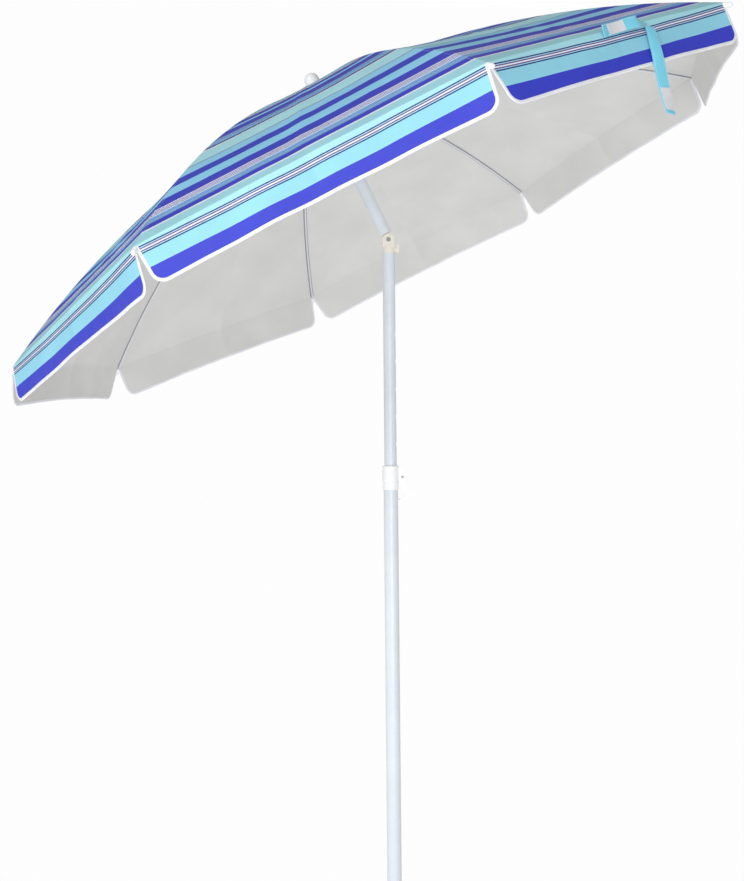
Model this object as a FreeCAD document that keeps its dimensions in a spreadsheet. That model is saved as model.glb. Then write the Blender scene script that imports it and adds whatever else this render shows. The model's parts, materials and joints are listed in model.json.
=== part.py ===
import FreeCAD, Part
import math
import os

import Sketcher

# Beach umbrella with a three-piece telescopic pole, a height clip, a tilt knuckle and eight folding ribs.
# Millimetres. The origin is the lower end of the straight lower tube, on its axis, and +Z is up the pole.
# The upper assembly is drawn upright about the tilt pivot and then leaned by tilt_angle towards -X.

SIZES = [
    ("tilt_angle", 25.0, "lean of the upper pole from upright"),
    ("pivot_height", 1410.0, "tilt pivot above the foot of the lower tube"),
    ("lower_tube_radius", 13.0, "lower tube, outside"),
    ("lower_tube_length", 1000.0, "lower tube"),
    ("collar_seat_length", 72.0, "upper end of the lower tube, drawn down for the collar"),
    ("collar_seat_step", 0.2, "how far that end is drawn down"),
    ("upper_tube_radius", 11.0, "middle and upper tube, outside"),
    ("tube_wall", 1.2, "wall of every tube"),
    ("middle_tube_foot", 560.0, "lower end of the middle tube above the foot"),
    ("spike_length", 95.0, "pointed plug below the lower tube"),
    ("spike_shoulder", 26.0, "straight shoulder between the tube and the spike's taper"),
    ("spike_inset", 0.6, "shoulder's step in from the tube's outside"),
    ("spike_point", 2.5, "spike's blunt point, radius"),
    ("plug_length", 38.0, "length of a plug inside its tube"),
    ("plug_gap", 0.05, "air between a plug and its tube"),
    ("running_gap", 0.25, "air around a piece that slides or turns"),
    ("collar_top", 1002.0, "top of the height collar"),
    ("collar_height", 43.0, "height of the collar"),
    ("collar_radius", 14.75, "collar, upper part"),
    ("collar_waist_radius", 14.2, "collar, lower part"),
    ("collar_waist_height", 28.0, "collar top down to the waist"),
    ("ridge_count", 24.0, "grip ridges round the collar's waist"),
    ("ridge_rise", 0.35, "grip ridge above the waist"),
    ("ridge_half", 0.5, "half width of a grip ridge, and the air above and below it"),
    ("peg_drop", 61.7, "collar top down to the peg of the height clip"),
    ("peg_radius", 2.4, "peg of the height clip"),
    ("hole_radius", 4.2, "holes that the peg enters"),
    ("hole_start", 5.0, "pole axis to the start of each drilled hole"),
    ("hole_pitch", 50.0, "spacing of the height holes"),
    ("hole_steps", 6.0, "holes above, and holes below, the one in use"),
    ("clip_pivot_out", 21.1, "clip pivot from the pole axis"),
    ("clip_pivot_drop", 20.2, "collar top down to the clip pivot"),
    ("clip_bow_out", 17.5, "centre of the clip's finger bow from the pole axis"),
    ("clip_bow_drop", 49.0, "collar top down to the centre of the bow"),
    ("clip_bow_outer", 15.2, "bow, outer radius"),
    ("clip_bow_inner", 10.2, "bow, inner radius"),
    ("clip_thickness", 6.0, "width of the clip"),
    ("clip_boss", 4.2, "round boss of the clip on its pin"),
    ("clip_pin_radius", 1.5, "pin of the clip"),
    ("clip_cheek_gap", 0.25, "clip to the inner face of a cheek"),
    ("clip_cheek_wall", 1.95, "thickness of a cheek"),
    ("cheek_reach", 12.0, "half length of a drill through both cheeks"),
    ("peg_inside", 1.6, "peg's end past the middle tube's wall"),
    ("pin_gap", 0.08, "air between a pin and the piece that turns on it"),
    ("knuckle_radius", 10.8, "round of the tilt knuckle"),
    ("knuckle_drop", 24.0, "tilt pivot down to the end of the middle tube"),
    ("knuckle_rise", 12.5, "tilt pivot up to the start of the upper tube"),
    ("tongue_half", 3.8, "half thickness of the knuckle's tongue"),
    ("cheek_inner", 4.0, "pole axis to the inner face of a cheek"),
    ("cheek_outer", 9.8, "pole axis to the outer face of a cheek"),
    ("fork_depth", 11.2, "tilt pivot down to the floor of the fork's slot"),
    ("fork_reach", 16.0, "half length of a cut or drill right through the knuckle"),
    ("neck_half", 7.5, "half width of the knuckle head's neck"),
    ("rivet_radius", 2.5, "tilt rivet"),
    ("rivet_rim", 1.4, "rivet head beyond its shank"),
    ("rivet_head", 1.0, "height of a rivet head"),
    ("button_reach", 18.7, "tip of the tilt button from the pole axis"),
    ("button_travel", 3.0, "how far the button presses in"),
    ("button_thickness", 3.6, "button's finger pad"),
    ("button_top", 8.0, "tilt pivot down to the top of the finger pad"),
    ("button_foot", 22.0, "tilt pivot down to the bottom of the finger pad"),
    ("stem_start", 3.0, "inner end of the button's stem from the pole axis"),
    ("stem_half", 3.2, "half width of the button's stem"),
    ("pocket_gap", 0.3, "air round the button's stem in its pocket"),
    ("pocket_end", 6.2, "pocket's closed end from the pole axis"),
    ("spring_radius", 2.6, "button spring, outside"),
    ("spring_bore", 1.8, "button spring, inside"),
    ("spring_length", 5.6, "button spring"),
    ("hub_height", 300.0, "rib pivots above the tilt pivot"),
    ("hub_radius", 22.0, "crown hub"),
    ("hub_pin_circle", 17.0, "radius of the rib pivots"),
    ("hub_skirt", 20.0, "rib pivots down to the hub's lower end"),
    ("hub_skirt_wall", 3.0, "wall of the hub below its flange"),
    ("hub_flange_foot", 5.5, "rib pivots down to the underside of the flange"),
    ("hub_top", 3.2, "hub's top above the rib pivots"),
    ("hub_rivet_drop", 13.0, "rib pivots down to the hub's rivet"),
    ("hub_rivet_radius", 1.5, "rivet through the hub"),
    ("ring_wire_radius", 1.0, "wire rings of the hub and the runner"),
    ("slot_width", 2.8, "slots for the rib and stretcher eyes"),
    ("runner_open_height", 202.0, "stretcher pivots of the open runner above the tilt pivot"),
    ("runner_radius", 25.0, "flange of the runner"),
    ("runner_pin_circle", 20.0, "radius of the runner's wire ring"),
    ("runner_skirt", 30.0, "stretcher pivots down to the runner's lower end"),
    ("runner_skirt_radius", 14.5, "runner, outside of the sleeve"),
    ("runner_flange_half", 5.5, "half height of the runner's flange"),
    ("catch_half", 1.3, "half width of the runner catch"),
    ("catch_gauge", 1.2, "thickness of the catch strip"),
    ("catch_rise", 3.2, "catch's shelf beyond the upper tube"),
    ("catch_length", 34.0, "runner's lower end down to the catch's lower end"),
    ("catch_gap", 1.8, "runner's lower end down to the catch's shelf"),
    ("rib_count", 8.0, "ribs, stretchers and gores"),
    ("rib_phase", 14.2, "first rib from the lean direction"),
    ("tip_circle", 700.0, "rib ends from the upper pole's axis"),
    ("tip_height", 50.0, "rib ends above the tilt pivot"),
    ("rib_sagitta", 40.0, "bow of a rib above its chord"),
    ("rib_radius", 1.8, "rib wire"),
    ("rib_joint_distance", 115.0, "rib pivot to the stretcher joint, along the rib"),
    ("rib_joint_drop", 4.5, "stretcher joint below the rib's axis"),
    ("rib_eye_radius", 2.5, "flattened eye at the rib's inner end"),
    ("rib_eye_reach", 9.0, "flattened length of the rib's inner end"),
    ("rib_eye_height", 3.2, "height of the flattened length"),
    ("rib_wire_start", 8.0, "rib pivot to the start of the round wire"),
    ("joint_plate_length", 16.0, "plate on the rib that carries the stretcher joint"),
    ("joint_plate_height", 8.6, "height of that plate"),
    ("joint_plate_rise", 1.4, "plate's top above the rib's axis"),
    ("joint_plate_round", 2.4, "rounding of the plate's lower corners"),
    ("stretcher_side", 3.1, "stretcher's mid-plane beside the rib's"),
    ("stretcher_depth", 4.0, "stretcher bar, height"),
    ("stretcher_thickness", 2.0, "stretcher bar, thickness"),
    ("stretcher_eye_radius", 3.0, "round ends of the stretcher"),
    ("joint_rivet_radius", 2.2, "rivet head on the stretcher's free side"),
    ("joint_rivet_height", 1.0, "height of that rivet head"),
    ("tip_radius", 4.0, "cap on the rib's end"),
    ("tip_length", 15.0, "cap on the rib's end"),
    ("fabric_thickness", 1.2, "canopy cloth"),
    ("fabric_gap", 0.4, "air between rib and cloth, and between neighbouring cloth sections"),
    ("crown_opening", 25.0, "cloth sections start this far from the axis"),
    ("patch_reach", 45.0, "crown patch, outer radius"),
    ("patch_lift", 3.9, "crown patch above the rib pivots, over the hub"),
    ("flap_height", 67.0, "hanging flap below the rim"),
    ("flap_splay", 10.0, "flap's outward lean"),
    ("flap_corner", 22.0, "rounding of the flap's lower corners"),
    ("flap_gap", 5.0, "rib's plane to the side of the flap"),
    ("finial_radius", 13.5, "knob on the crown"),
    ("finial_top", 335.0, "top of the knob above the tilt pivot"),
    ("finial_foot", 5.6, "knob's underside above the rib pivots"),
    ("finial_stem", 8.0, "rib pivots down to the end of the knob's stem"),
    ("strap_width", 18.0, "closing strap"),
    ("strap_thickness", 1.4, "closing strap"),
    ("strap_laid_length", 104.0, "strap end that stands along the rim"),
    ("strap_hung_length", 158.0, "strap end that hangs over the flap"),
    ("strap_place", 77.0, "middle of the gore to the sewn point, along the rim"),
    ("strap_stand", 20.0, "standing end's lean back from square to the cloth"),
    ("strap_swing", 21.8, "hanging end's angle from straight down the flap"),
    ("strap_lift", 0.5, "air between the strap and the cloth"),
    ("strap_inset", 2.0, "standing end above the rim"),
    ("patch_length", 36.0, "hook and loop patches"),
    ("patch_thickness", 1.0, "hook and loop patches"),
    ("patch_edge", 1.0, "strap left bare beside a patch"),
    ("hook_end", 14.0, "strap left bare past the hook patch"),
    ("loop_end", 6.0, "strap left bare past the loop patch"),
]

doc = FreeCAD.newDocument("beach_umbrella")
sheet = doc.addObject("Spreadsheet::Sheet", "sizes")
for row, (alias, number, note) in enumerate(SIZES, start=1):
    sheet.set(f"A{row}", note)
    sheet.set(f"B{row}", str(number))
    sheet.setAlias(f"B{row}", alias)
doc.recompute()

size = {alias: float(sheet.get(alias)) for alias, _, _ in SIZES}
pieces = {}

SEAT_RADIUS = "lower_tube_radius - collar_seat_step"
CLIP_PIVOT = ("clip_pivot_out", "collar_top - clip_pivot_drop")
CLIP_BOW = ("clip_bow_out", "collar_top - clip_bow_drop")
STRAP_RIB = 4

UPRIGHT = FreeCAD.Placement()
ALONG_X = FreeCAD.Rotation(FreeCAD.Vector(0, 1, 0), 90)
ALONG_Y = FreeCAD.Rotation(FreeCAD.Vector(1, 0, 0), -90)
LEAN = FreeCAD.Placement(
    FreeCAD.Vector(0, 0, size["pivot_height"]),
    FreeCAD.Rotation(FreeCAD.Vector(0, 1, 0), -size["tilt_angle"]),
)


# ---------------------------------------------------------------- helpers

def dims(expression):
    """Turn words such as 'hub_radius - 2' into an expression on the sizes sheet."""
    words = []
    for word in expression.replace("(", " ( ").replace(")", " ) ").split():
        words.append("sizes." + word if word in size else word)
    return " ".join(words)


def value_of(expression):
    """Number of millimetres that a sizes expression stands for."""
    result = sheet.evalExpression(dims(expression))
    return float(getattr(result, "Value", result))


def bind(item, **expressions):
    """Bind properties of a document object to cells of the sheet."""
    for name, expression in expressions.items():
        item.setExpression(name, dims(expression))
    return item


def put(item, x="0", y="0", z="0", turn=None):
    """Place a primitive: position bound to the sheet, direction given as a rotation."""
    if turn is not None:
        item.Placement = FreeCAD.Placement(FreeCAD.Vector(0, 0, 0), turn)
    for axis, expression in zip("xyz", (x, y, z)):
        item.setExpression(f"Placement.Base.{axis}", dims(expression))
    return item


def rod(name, radius, length, x="0", y="0", z="0", turn=None):
    """Cylinder that starts at (x, y, z) and runs along its turned Z axis."""
    item = bind(doc.addObject("Part::Cylinder", name), Radius=radius, Height=length)
    return put(item, x, y, z, turn)


def pin(name, radius, half_length, x, z):
    """Cylinder along Y, centred on the plane of the pole."""
    return rod(name, radius, f"2 * ( {half_length} )", x, f"0 - ( {half_length} )", z, ALONG_Y)


def block(name, low, high):
    """Box between two corners given as sizes expressions."""
    item = doc.addObject("Part::Box", name)
    lengths = [f"( {b} ) - ( {a} )" for a, b in zip(low, high)]
    bind(item, Length=lengths[0], Width=lengths[1], Height=lengths[2])
    return put(item, *low)


def join(name, *items):
    """Union of several shapes."""
    union = doc.addObject("Part::MultiFuse", name)
    union.Shapes = list(items)
    return union


def cut(name, base, *tools):
    """A shape with other shapes taken away."""
    tool = tools[0] if len(tools) == 1 else join(name + "_tools", *tools)
    result = doc.addObject("Part::Cut", name)
    result.Base = base
    result.Tool = tool
    return result


def outline(body, role, corners):
    """Closed sketch on one of the body's own planes, each corner bound to the sheet."""
    plane = next(item for item in body.Origin.OriginFeatures if item.Role == role)
    sketch = body.newObject("Sketcher::SketchObject", body.Name + "_outline")
    sketch.AttachmentSupport = [(plane, "")]
    sketch.MapMode = "FlatFace"
    points = [FreeCAD.Vector(value_of(x), value_of(y), 0) for x, y in corners]
    for start, end in zip(points, points[1:] + points[:1]):
        sketch.addGeometry(Part.LineSegment(start, end), False)
    for index in range(len(points)):
        following = (index + 1) % len(points)
        sketch.addConstraint(Sketcher.Constraint("Coincident", index, 2, following, 1))
    for index, corner in enumerate(corners):
        for kind, axis, number, text in zip(("DistanceX", "DistanceY"), (-2, -1), points[index], corner):
            if abs(number) < 1e-9:
                sketch.addConstraint(Sketcher.Constraint("PointOnObject", index, 1, axis))
            else:
                place = sketch.addConstraint(Sketcher.Constraint(kind, -1, 1, index, 1, number))
                sketch.setExpression(f"Constraints[{place}]", dims(text))
    return sketch


def turned(name, corners):
    """Body turned about Z from an outline of (radius, height) corners."""
    body = doc.addObject("PartDesign::Body", name)
    turn = body.newObject("PartDesign::Revolution", name + "_turn")
    turn.Profile = outline(body, "XZ_Plane", corners)
    turn.ReferenceAxis = (turn.Profile[0], ["V_Axis"])
    turn.Angle = 360
    return body


def plate(name, corners, half_thickness):
    """Body padded both ways from an outline in the plane of the pole."""
    body = doc.addObject("PartDesign::Body", name)
    pad = body.newObject("PartDesign::Pad", name + "_pad")
    pad.Profile = outline(body, "XZ_Plane", corners)
    pad.Midplane = True
    bind(pad, Length=f"2 * ( {half_thickness} )")
    return body


def keep(label, item, placement=UPRIGHT):
    """Name a finished sub-part and put it in its place."""
    item.Label = label
    item.Placement = placement
    pieces[label] = item


def around(index):
    """Placement of the rib plane with this index, about the leaned upper pole."""
    azimuth = 180 + size["rib_phase"] + index * 360 / size["rib_count"]
    spin = FreeCAD.Rotation(FreeCAD.Vector(0, 0, 1), azimuth)
    return LEAN * FreeCAD.Placement(FreeCAD.Vector(0, 0, 0), spin)


# ---------------------------------------------------------------- rib line

class RibLine:
    """Circular arc of a rib in its own plane, as (distance from the axis, height above the pivot)."""

    def __init__(self):
        run = size["tip_circle"] - size["hub_pin_circle"]
        fall = size["hub_height"] - size["tip_height"]
        chord = math.hypot(run, fall)
        bow = size["rib_sagitta"]
        self.radius = (chord ** 2 / 4 + bow ** 2) / (2 * bow)
        slope = math.atan2(fall, run)
        half = math.asin(chord / 2 / self.radius)
        self.start = slope - half
        self.end = slope + half
        middle_out = (size["tip_circle"] + size["hub_pin_circle"]) / 2
        middle_up = (size["hub_height"] + size["tip_height"]) / 2
        self.centre_out = middle_out - (self.radius - bow) * math.sin(slope)
        self.centre_up = middle_up - (self.radius - bow) * math.cos(slope)

    def slope_at(self, distance):
        """Slope below the horizontal, in radians, at a distance along the rib."""
        return self.start + distance / self.radius

    def slope_out(self, out, offset=0.0):
        """Slope where the line, raised by offset, is this far from the axis."""
        return math.asin((out - self.centre_out) / (self.radius + offset))

    def point(self, slope, offset=0.0, side=0.0):
        """Point of the line at a slope, raised by offset along its normal."""
        reach = self.radius + offset
        out = self.centre_out + reach * math.sin(slope)
        up = self.centre_up + reach * math.cos(slope)
        return FreeCAD.Vector(out, side, up)

    def arc(self, first, last, offset=0.0):
        """Edge along the line between two slopes."""
        middle = (first + last) / 2
        ends = [self.point(angle, offset) for angle in (first, middle, last)]
        return Part.Arc(*ends).toShape()


line = RibLine()
rim_slope = line.end - (size["tip_length"] * 0.4) / line.radius


# ---------------------------------------------------------------- lower pole

def make_ground_spike():
    """Pointed plastic plug that closes the lower tube and goes into the sand."""
    corners = [
        ("0", "0 - spike_length"),
        ("spike_point", "0 - spike_length + 2"),
        ("lower_tube_radius - spike_inset", "0 - spike_shoulder"),
        ("lower_tube_radius - spike_inset", "0"),
        ("lower_tube_radius - tube_wall - plug_gap", "0"),
        ("lower_tube_radius - tube_wall - plug_gap", "plug_length"),
        ("0", "plug_length"),
    ]
    keep("ground_spike", turned("spike", corners))


def make_lower_tube():
    """Lower tube with one hole for the peg of the height clip and a drawn-down end for the collar."""
    tube = turned("lower_tube_wall", [
        ("lower_tube_radius - tube_wall", "0"),
        ("lower_tube_radius", "0"),
        ("lower_tube_radius", "lower_tube_length - collar_seat_length"),
        (SEAT_RADIUS, "lower_tube_length - collar_seat_length + 1"),
        (SEAT_RADIUS, "lower_tube_length"),
        ("lower_tube_radius - tube_wall", "lower_tube_length"),
    ])
    hole = rod("lower_tube_hole", "hole_radius", "lower_tube_radius",
               "hole_start", "0", "collar_top - peg_drop", ALONG_X)
    keep("lower_tube", cut("lower_tube_cut", tube, hole))


def grip_ridges():
    """Upright ridges round the waist of the height collar."""
    count = int(size["ridge_count"])
    foot = "collar_top - collar_height + 2 * ridge_half"
    head = "collar_top - collar_waist_height - 2 * ridge_half"
    ridges = []
    for index in range(count):
        straight = block(
            f"collar_ridge_{index}",
            ("collar_waist_radius - ridge_rise", "0 - ridge_half", foot),
            ("collar_waist_radius + ridge_rise", "ridge_half", head),
        )
        doc.recompute([straight])
        ridge = doc.addObject("Part::Feature", f"collar_ridge_turned_{index}")
        ridge.Shape = straight.Shape.copy()
        spin = FreeCAD.Rotation(FreeCAD.Vector(0, 0, 1), (index + 0.5) * 360 / count)
        ridge.Placement = FreeCAD.Placement(FreeCAD.Vector(0, 0, 0), spin) * straight.Placement
        ridges.append(ridge)
    return ridges


def make_height_collar():
    """Plastic collar on the lower tube's mouth, with two cheeks that carry the height clip."""
    sleeve = turned("collar_sleeve", [
        (f"{SEAT_RADIUS} + plug_gap", "collar_top - collar_height"),
        ("collar_waist_radius", "collar_top - collar_height"),
        ("collar_waist_radius", "collar_top - collar_waist_height"),
        ("collar_radius", "collar_top - collar_waist_height + 1.5"),
        ("collar_radius", "collar_top - 1"),
        ("collar_radius - 1", "collar_top"),
        ("upper_tube_radius + running_gap", "collar_top"),
        ("upper_tube_radius + running_gap", "lower_tube_length + 0.1"),
        (f"{SEAT_RADIUS} + plug_gap", "lower_tube_length + 0.1"),
    ])
    cheek_inner = "clip_thickness / 2 + clip_cheek_gap"
    cheeks = plate("collar_cheeks", [
        ("lower_tube_radius + 0.3", "collar_top - 2.5"),
        ("collar_radius + 0.5", "collar_top - 2.5"),
        ("clip_pivot_out + 5", "collar_top - clip_pivot_drop + 6"),
        ("clip_pivot_out + 5.5", "collar_top - clip_pivot_drop"),
        ("clip_pivot_out + 2.5", "collar_top - clip_pivot_drop - 4.8"),
        ("clip_pivot_out - 2.5", "collar_top - clip_pivot_drop - 4.8"),
        ("lower_tube_radius + 0.3", "collar_top - collar_waist_height + 1"),
    ], f"{cheek_inner} + clip_cheek_wall")
    gap = block(
        "collar_cheek_gap",
        ("collar_radius + 0.4", f"0 - ( {cheek_inner} )", "collar_top - collar_height"),
        ("clip_pivot_out + 9", cheek_inner, "collar_top + 1"),
    )
    pin_hole = pin("collar_pin_hole", "clip_pin_radius + plug_gap", "cheek_reach", *CLIP_PIVOT)
    bore = rod("collar_bore", f"{SEAT_RADIUS} + plug_gap", "collar_height - 2",
               "0", "0", "collar_top - collar_height")
    whole = join("collar_whole", sleeve, cheeks, *grip_ridges())
    keep("height_collar", cut("collar_cut", whole, gap, pin_hole, bore))


def make_clip_pin():
    """Headed steel pin through the collar's cheeks."""
    cheek_outer = "clip_thickness / 2 + clip_cheek_gap + clip_cheek_wall"
    shank = pin("clip_pin_shank", "clip_pin_radius", f"{cheek_outer} + 1", *CLIP_PIVOT)
    heads = pin("clip_pin_heads", "clip_pin_radius + 0.9", f"{cheek_outer} + 1.1", *CLIP_PIVOT)
    between = pin("clip_pin_between", "clip_pin_radius + 2", f"{cheek_outer} + 0.1", *CLIP_PIVOT)
    keep("clip_pin", join("clip_pin_whole", shank, cut("clip_pin_caps", heads, between)))


def make_height_clip():
    """Hooked finger clip whose peg enters the height holes."""
    half = "clip_thickness / 2"
    bow = pin("clip_bow_outside", "clip_bow_outer", half, *CLIP_BOW)
    inside = pin("clip_bow_inside", "clip_bow_inner", "clip_thickness", *CLIP_BOW)
    pole_side = block(
        "clip_pole_side",
        ("0 - 5", "0 - clip_thickness", "collar_top - 80"),
        ("clip_bow_out", "clip_thickness", "collar_top - 20"),
    )
    hook = cut("clip_hook", bow, inside, pole_side)
    boss = pin("clip_boss_round", "clip_boss", half, *CLIP_PIVOT)
    arm = plate("clip_arm", [
        ("clip_pivot_out - clip_boss + 1", "collar_top - clip_pivot_drop - 2"),
        ("clip_pivot_out + clip_boss - 0.2", "collar_top - clip_pivot_drop - 1"),
        ("clip_bow_out + 11", "collar_top - clip_bow_drop + 10"),
        ("clip_bow_out", "collar_top - clip_bow_drop + clip_bow_inner + 0.4"),
        ("clip_bow_out", "collar_top - clip_bow_drop + clip_bow_outer - 0.4"),
    ], half)
    inside_arm = pin("clip_bow_inside_arm", "clip_bow_inner", "clip_thickness", *CLIP_BOW)
    peg_end = "upper_tube_radius - tube_wall - peg_inside"
    peg = rod("clip_peg", "peg_radius", f"clip_bow_out + 1 - ( {peg_end} )",
              peg_end, "0", "collar_top - peg_drop", ALONG_X)
    whole = join("clip_whole", hook, boss, cut("clip_arm_clear", arm, inside_arm), peg)
    hole = pin("clip_hole", "clip_pin_radius + pin_gap", "clip_thickness", *CLIP_PIVOT)
    keep("height_clip", cut("clip_cut", whole, hole))


# ---------------------------------------------------------------- middle pole

def make_middle_tube():
    """Sliding tube with a row of height holes."""
    tube = turned("middle_tube_wall", [
        ("upper_tube_radius - tube_wall", "middle_tube_foot"),
        ("upper_tube_radius", "middle_tube_foot"),
        ("upper_tube_radius", "pivot_height - knuckle_drop"),
        ("upper_tube_radius - tube_wall", "pivot_height - knuckle_drop"),
    ])
    steps = int(size["hole_steps"])
    holes = [
        rod(f"height_hole_{index + steps}", "hole_radius", "upper_tube_radius", "hole_start", "0",
            f"collar_top - peg_drop + {index} * hole_pitch", ALONG_X)
        for index in range(-steps, steps + 1)
    ]
    keep("middle_tube", cut("middle_tube_cut", tube, *holes))


def make_middle_tube_glide():
    """Plastic glide in the lower end of the middle tube, which guides it in the lower tube."""
    corners = [
        ("4", "middle_tube_foot - 9"),
        ("lower_tube_radius - tube_wall - 0.1", "middle_tube_foot - 9"),
        ("lower_tube_radius - tube_wall - 0.1", "middle_tube_foot"),
        ("upper_tube_radius - tube_wall - plug_gap", "middle_tube_foot"),
        ("upper_tube_radius - tube_wall - plug_gap", "middle_tube_foot + plug_length / 2"),
        ("4", "middle_tube_foot + plug_length / 2"),
    ]
    keep("middle_tube_glide", turned("glide", corners))


def make_knuckle_base():
    """Fork of the tilt knuckle, plugged into the middle tube, with a pocket for the tilt button."""
    seat = "pivot_height - knuckle_drop"
    plug = rod("base_plug", "upper_tube_radius - tube_wall - plug_gap", "plug_length + 2", "0", "0",
               f"{seat} - plug_length")
    collar = rod("base_collar", "upper_tube_radius + 0.1", "knuckle_drop - 10", "0", "0", seat)
    neck = block(
        "base_neck",
        ("0 - knuckle_radius + 0.8", "0 - cheek_outer + 1.2", "pivot_height - 14"),
        ("knuckle_radius - 0.8", "cheek_outer - 1.2", "pivot_height"),
    )
    round_ = pin("base_round", "knuckle_radius", "cheek_outer", "0", "pivot_height")
    slot = block(
        "base_slot",
        ("0 - fork_reach", "0 - cheek_inner", "pivot_height - fork_depth"),
        ("fork_reach", "cheek_inner", "pivot_height + fork_reach"),
    )
    pocket = block(
        "base_pocket",
        ("0 - pocket_end", "0 - stem_half - pocket_gap", "pivot_height - button_foot + 1 - pocket_gap"),
        ("upper_tube_radius + 3", "stem_half + pocket_gap", "pivot_height - button_foot + 8 + pocket_gap"),
    )
    rivet_hole = pin("base_rivet_hole", "rivet_radius + plug_gap", "fork_reach", "0", "pivot_height")
    whole = join("base_whole", plug, collar, neck, round_)
    keep("knuckle_base", cut("base_cut", whole, slot, pocket, rivet_hole))


def make_tilt_rivet():
    """Rivet that the upper pole turns on."""
    place = ("0", "pivot_height")
    shank = pin("rivet_shank", "rivet_radius", "cheek_outer + rivet_head", *place)
    heads = pin("rivet_heads", "rivet_radius + rivet_rim", "cheek_outer + rivet_head + 0.1", *place)
    between = pin("rivet_between", "rivet_radius + rivet_rim + 1", "cheek_outer + 0.1", *place)
    keep("tilt_rivet", join("rivet_whole", shank, cut("rivet_caps", heads, between)))


def make_tilt_button():
    """Sprung push tab that frees the tilt."""
    pad = block(
        "button_pad",
        ("button_reach - button_thickness", "0 - stem_half - 0.2", "pivot_height - button_foot"),
        ("button_reach", "stem_half + 0.2", "pivot_height - button_top"),
    )
    stem = block(
        "button_stem",
        ("stem_start", "0 - stem_half", "pivot_height - button_foot + 1"),
        ("button_reach - button_thickness", "stem_half", "pivot_height - button_foot + 8"),
    )
    keep("tilt_button", join("button_whole", pad, stem))
    middle = "pivot_height - button_foot + 4.5"
    coil = rod("spring_outside", "spring_radius", "spring_length", "0 - 6", "0", middle, ALONG_X)
    core = rod("spring_inside", "spring_bore", "spring_length + 2", "0 - 7", "0", middle, ALONG_X)
    keep("button_spring", cut("spring_cut", coil, core))


# ---------------------------------------------------------------- upper pole

def make_knuckle_head():
    """Tongue of the tilt knuckle, plugged into the upper tube."""
    tongue = pin("head_tongue", "knuckle_radius - 0.6", "tongue_half", "0", "0")
    neck = block(
        "head_neck",
        ("0 - neck_half", "0 - tongue_half", "0"),
        ("neck_half", "tongue_half", "knuckle_rise"),
    )
    plug = rod("head_plug", "upper_tube_radius - tube_wall - plug_gap", "plug_length",
               "0", "0", "knuckle_rise - 0.5")
    whole = join("head_whole", tongue, neck, plug)
    hole = pin("head_hole", "rivet_radius + pin_gap", "fork_reach", "0", "0")
    keep("knuckle_head", cut("head_cut", whole, hole), LEAN)


def make_upper_tube():
    """Upper tube, from the knuckle to the crown hub, with a slot for the runner catch."""
    tube = turned("upper_tube_wall", [
        ("upper_tube_radius - tube_wall", "knuckle_rise"),
        ("upper_tube_radius", "knuckle_rise"),
        ("upper_tube_radius", "hub_height + hub_top - 0.2"),
        ("upper_tube_radius - tube_wall", "hub_height + hub_top - 0.2"),
    ])
    slot = block(
        "catch_slot",
        ("5", "0 - catch_half - 0.4", "runner_open_height - runner_skirt - 28"),
        ("14", "catch_half + 0.4", "runner_open_height - runner_skirt - 1"),
    )
    rivet_hole = pin("hub_rivet_hole_tube", "hub_rivet_radius + plug_gap", "fork_reach",
                     "0", "hub_height - hub_rivet_drop")
    keep("upper_tube", cut("upper_tube_cut", tube, slot, rivet_hole), LEAN)


def make_runner_catch():
    """Bent spring strip in the upper tube that holds the runner up."""
    foot = "runner_open_height - runner_skirt"
    inner = "upper_tube_radius - tube_wall - catch_gauge - 0.4"
    shelf = "upper_tube_radius + catch_rise"
    strip = plate("catch_strip", [
        (inner, f"{foot} - catch_length"),
        (f"{inner} + catch_gauge", f"{foot} - catch_length"),
        (f"{inner} + catch_gauge", f"{foot} - 27"),
        (shelf, f"{foot} - 6"),
        (shelf, f"{foot} - catch_gap"),
        (inner, f"{foot} - catch_gap"),
        (inner, f"{foot} - catch_gap - 1.4"),
        (f"{shelf} - 1.3", f"{foot} - catch_gap - 1.4"),
        (f"{shelf} - 1.3", f"{foot} - 5.6"),
        (inner, f"{foot} - 25.6"),
    ], "catch_half")
    keep("runner_catch", strip, LEAN)


def ring(name, circle):
    """Wire ring about the upper pole."""
    return bind(doc.addObject("Part::Torus", name), Radius1=circle, Radius2="ring_wire_radius")


def lean_at(height):
    """Placement on the leaned upper pole, this far above the tilt pivot."""
    return LEAN * FreeCAD.Placement(FreeCAD.Vector(0, 0, height), FreeCAD.Rotation())


def ring_groove(name, circle, height):
    """Channel that a wire ring lies in."""
    item = doc.addObject("Part::Torus", name)
    bind(item, Radius1=circle, Radius2="ring_wire_radius + plug_gap")
    return put(item, "0", "0", height)


def radial_slots(name, inner, outer, low, high, side="0"):
    """Slots all round, one in each rib plane, moved sideways by side."""
    slots = []
    for index in range(int(size["rib_count"])):
        slot = doc.addObject("Part::Feature", f"{name}_{index + 1}")
        length = value_of(outer) - value_of(inner)
        width = size["slot_width"]
        height = value_of(high) - value_of(low)
        corner = FreeCAD.Vector(value_of(inner), value_of(side) - width / 2, value_of(low))
        slot.Shape = Part.makeBox(length, width, height, corner)
        azimuth = 180 + size["rib_phase"] + index * 360 / size["rib_count"]
        slot.Placement = FreeCAD.Placement(
            FreeCAD.Vector(0, 0, 0), FreeCAD.Rotation(FreeCAD.Vector(0, 0, 1), azimuth))
        slots.append(slot)
    return slots


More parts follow.
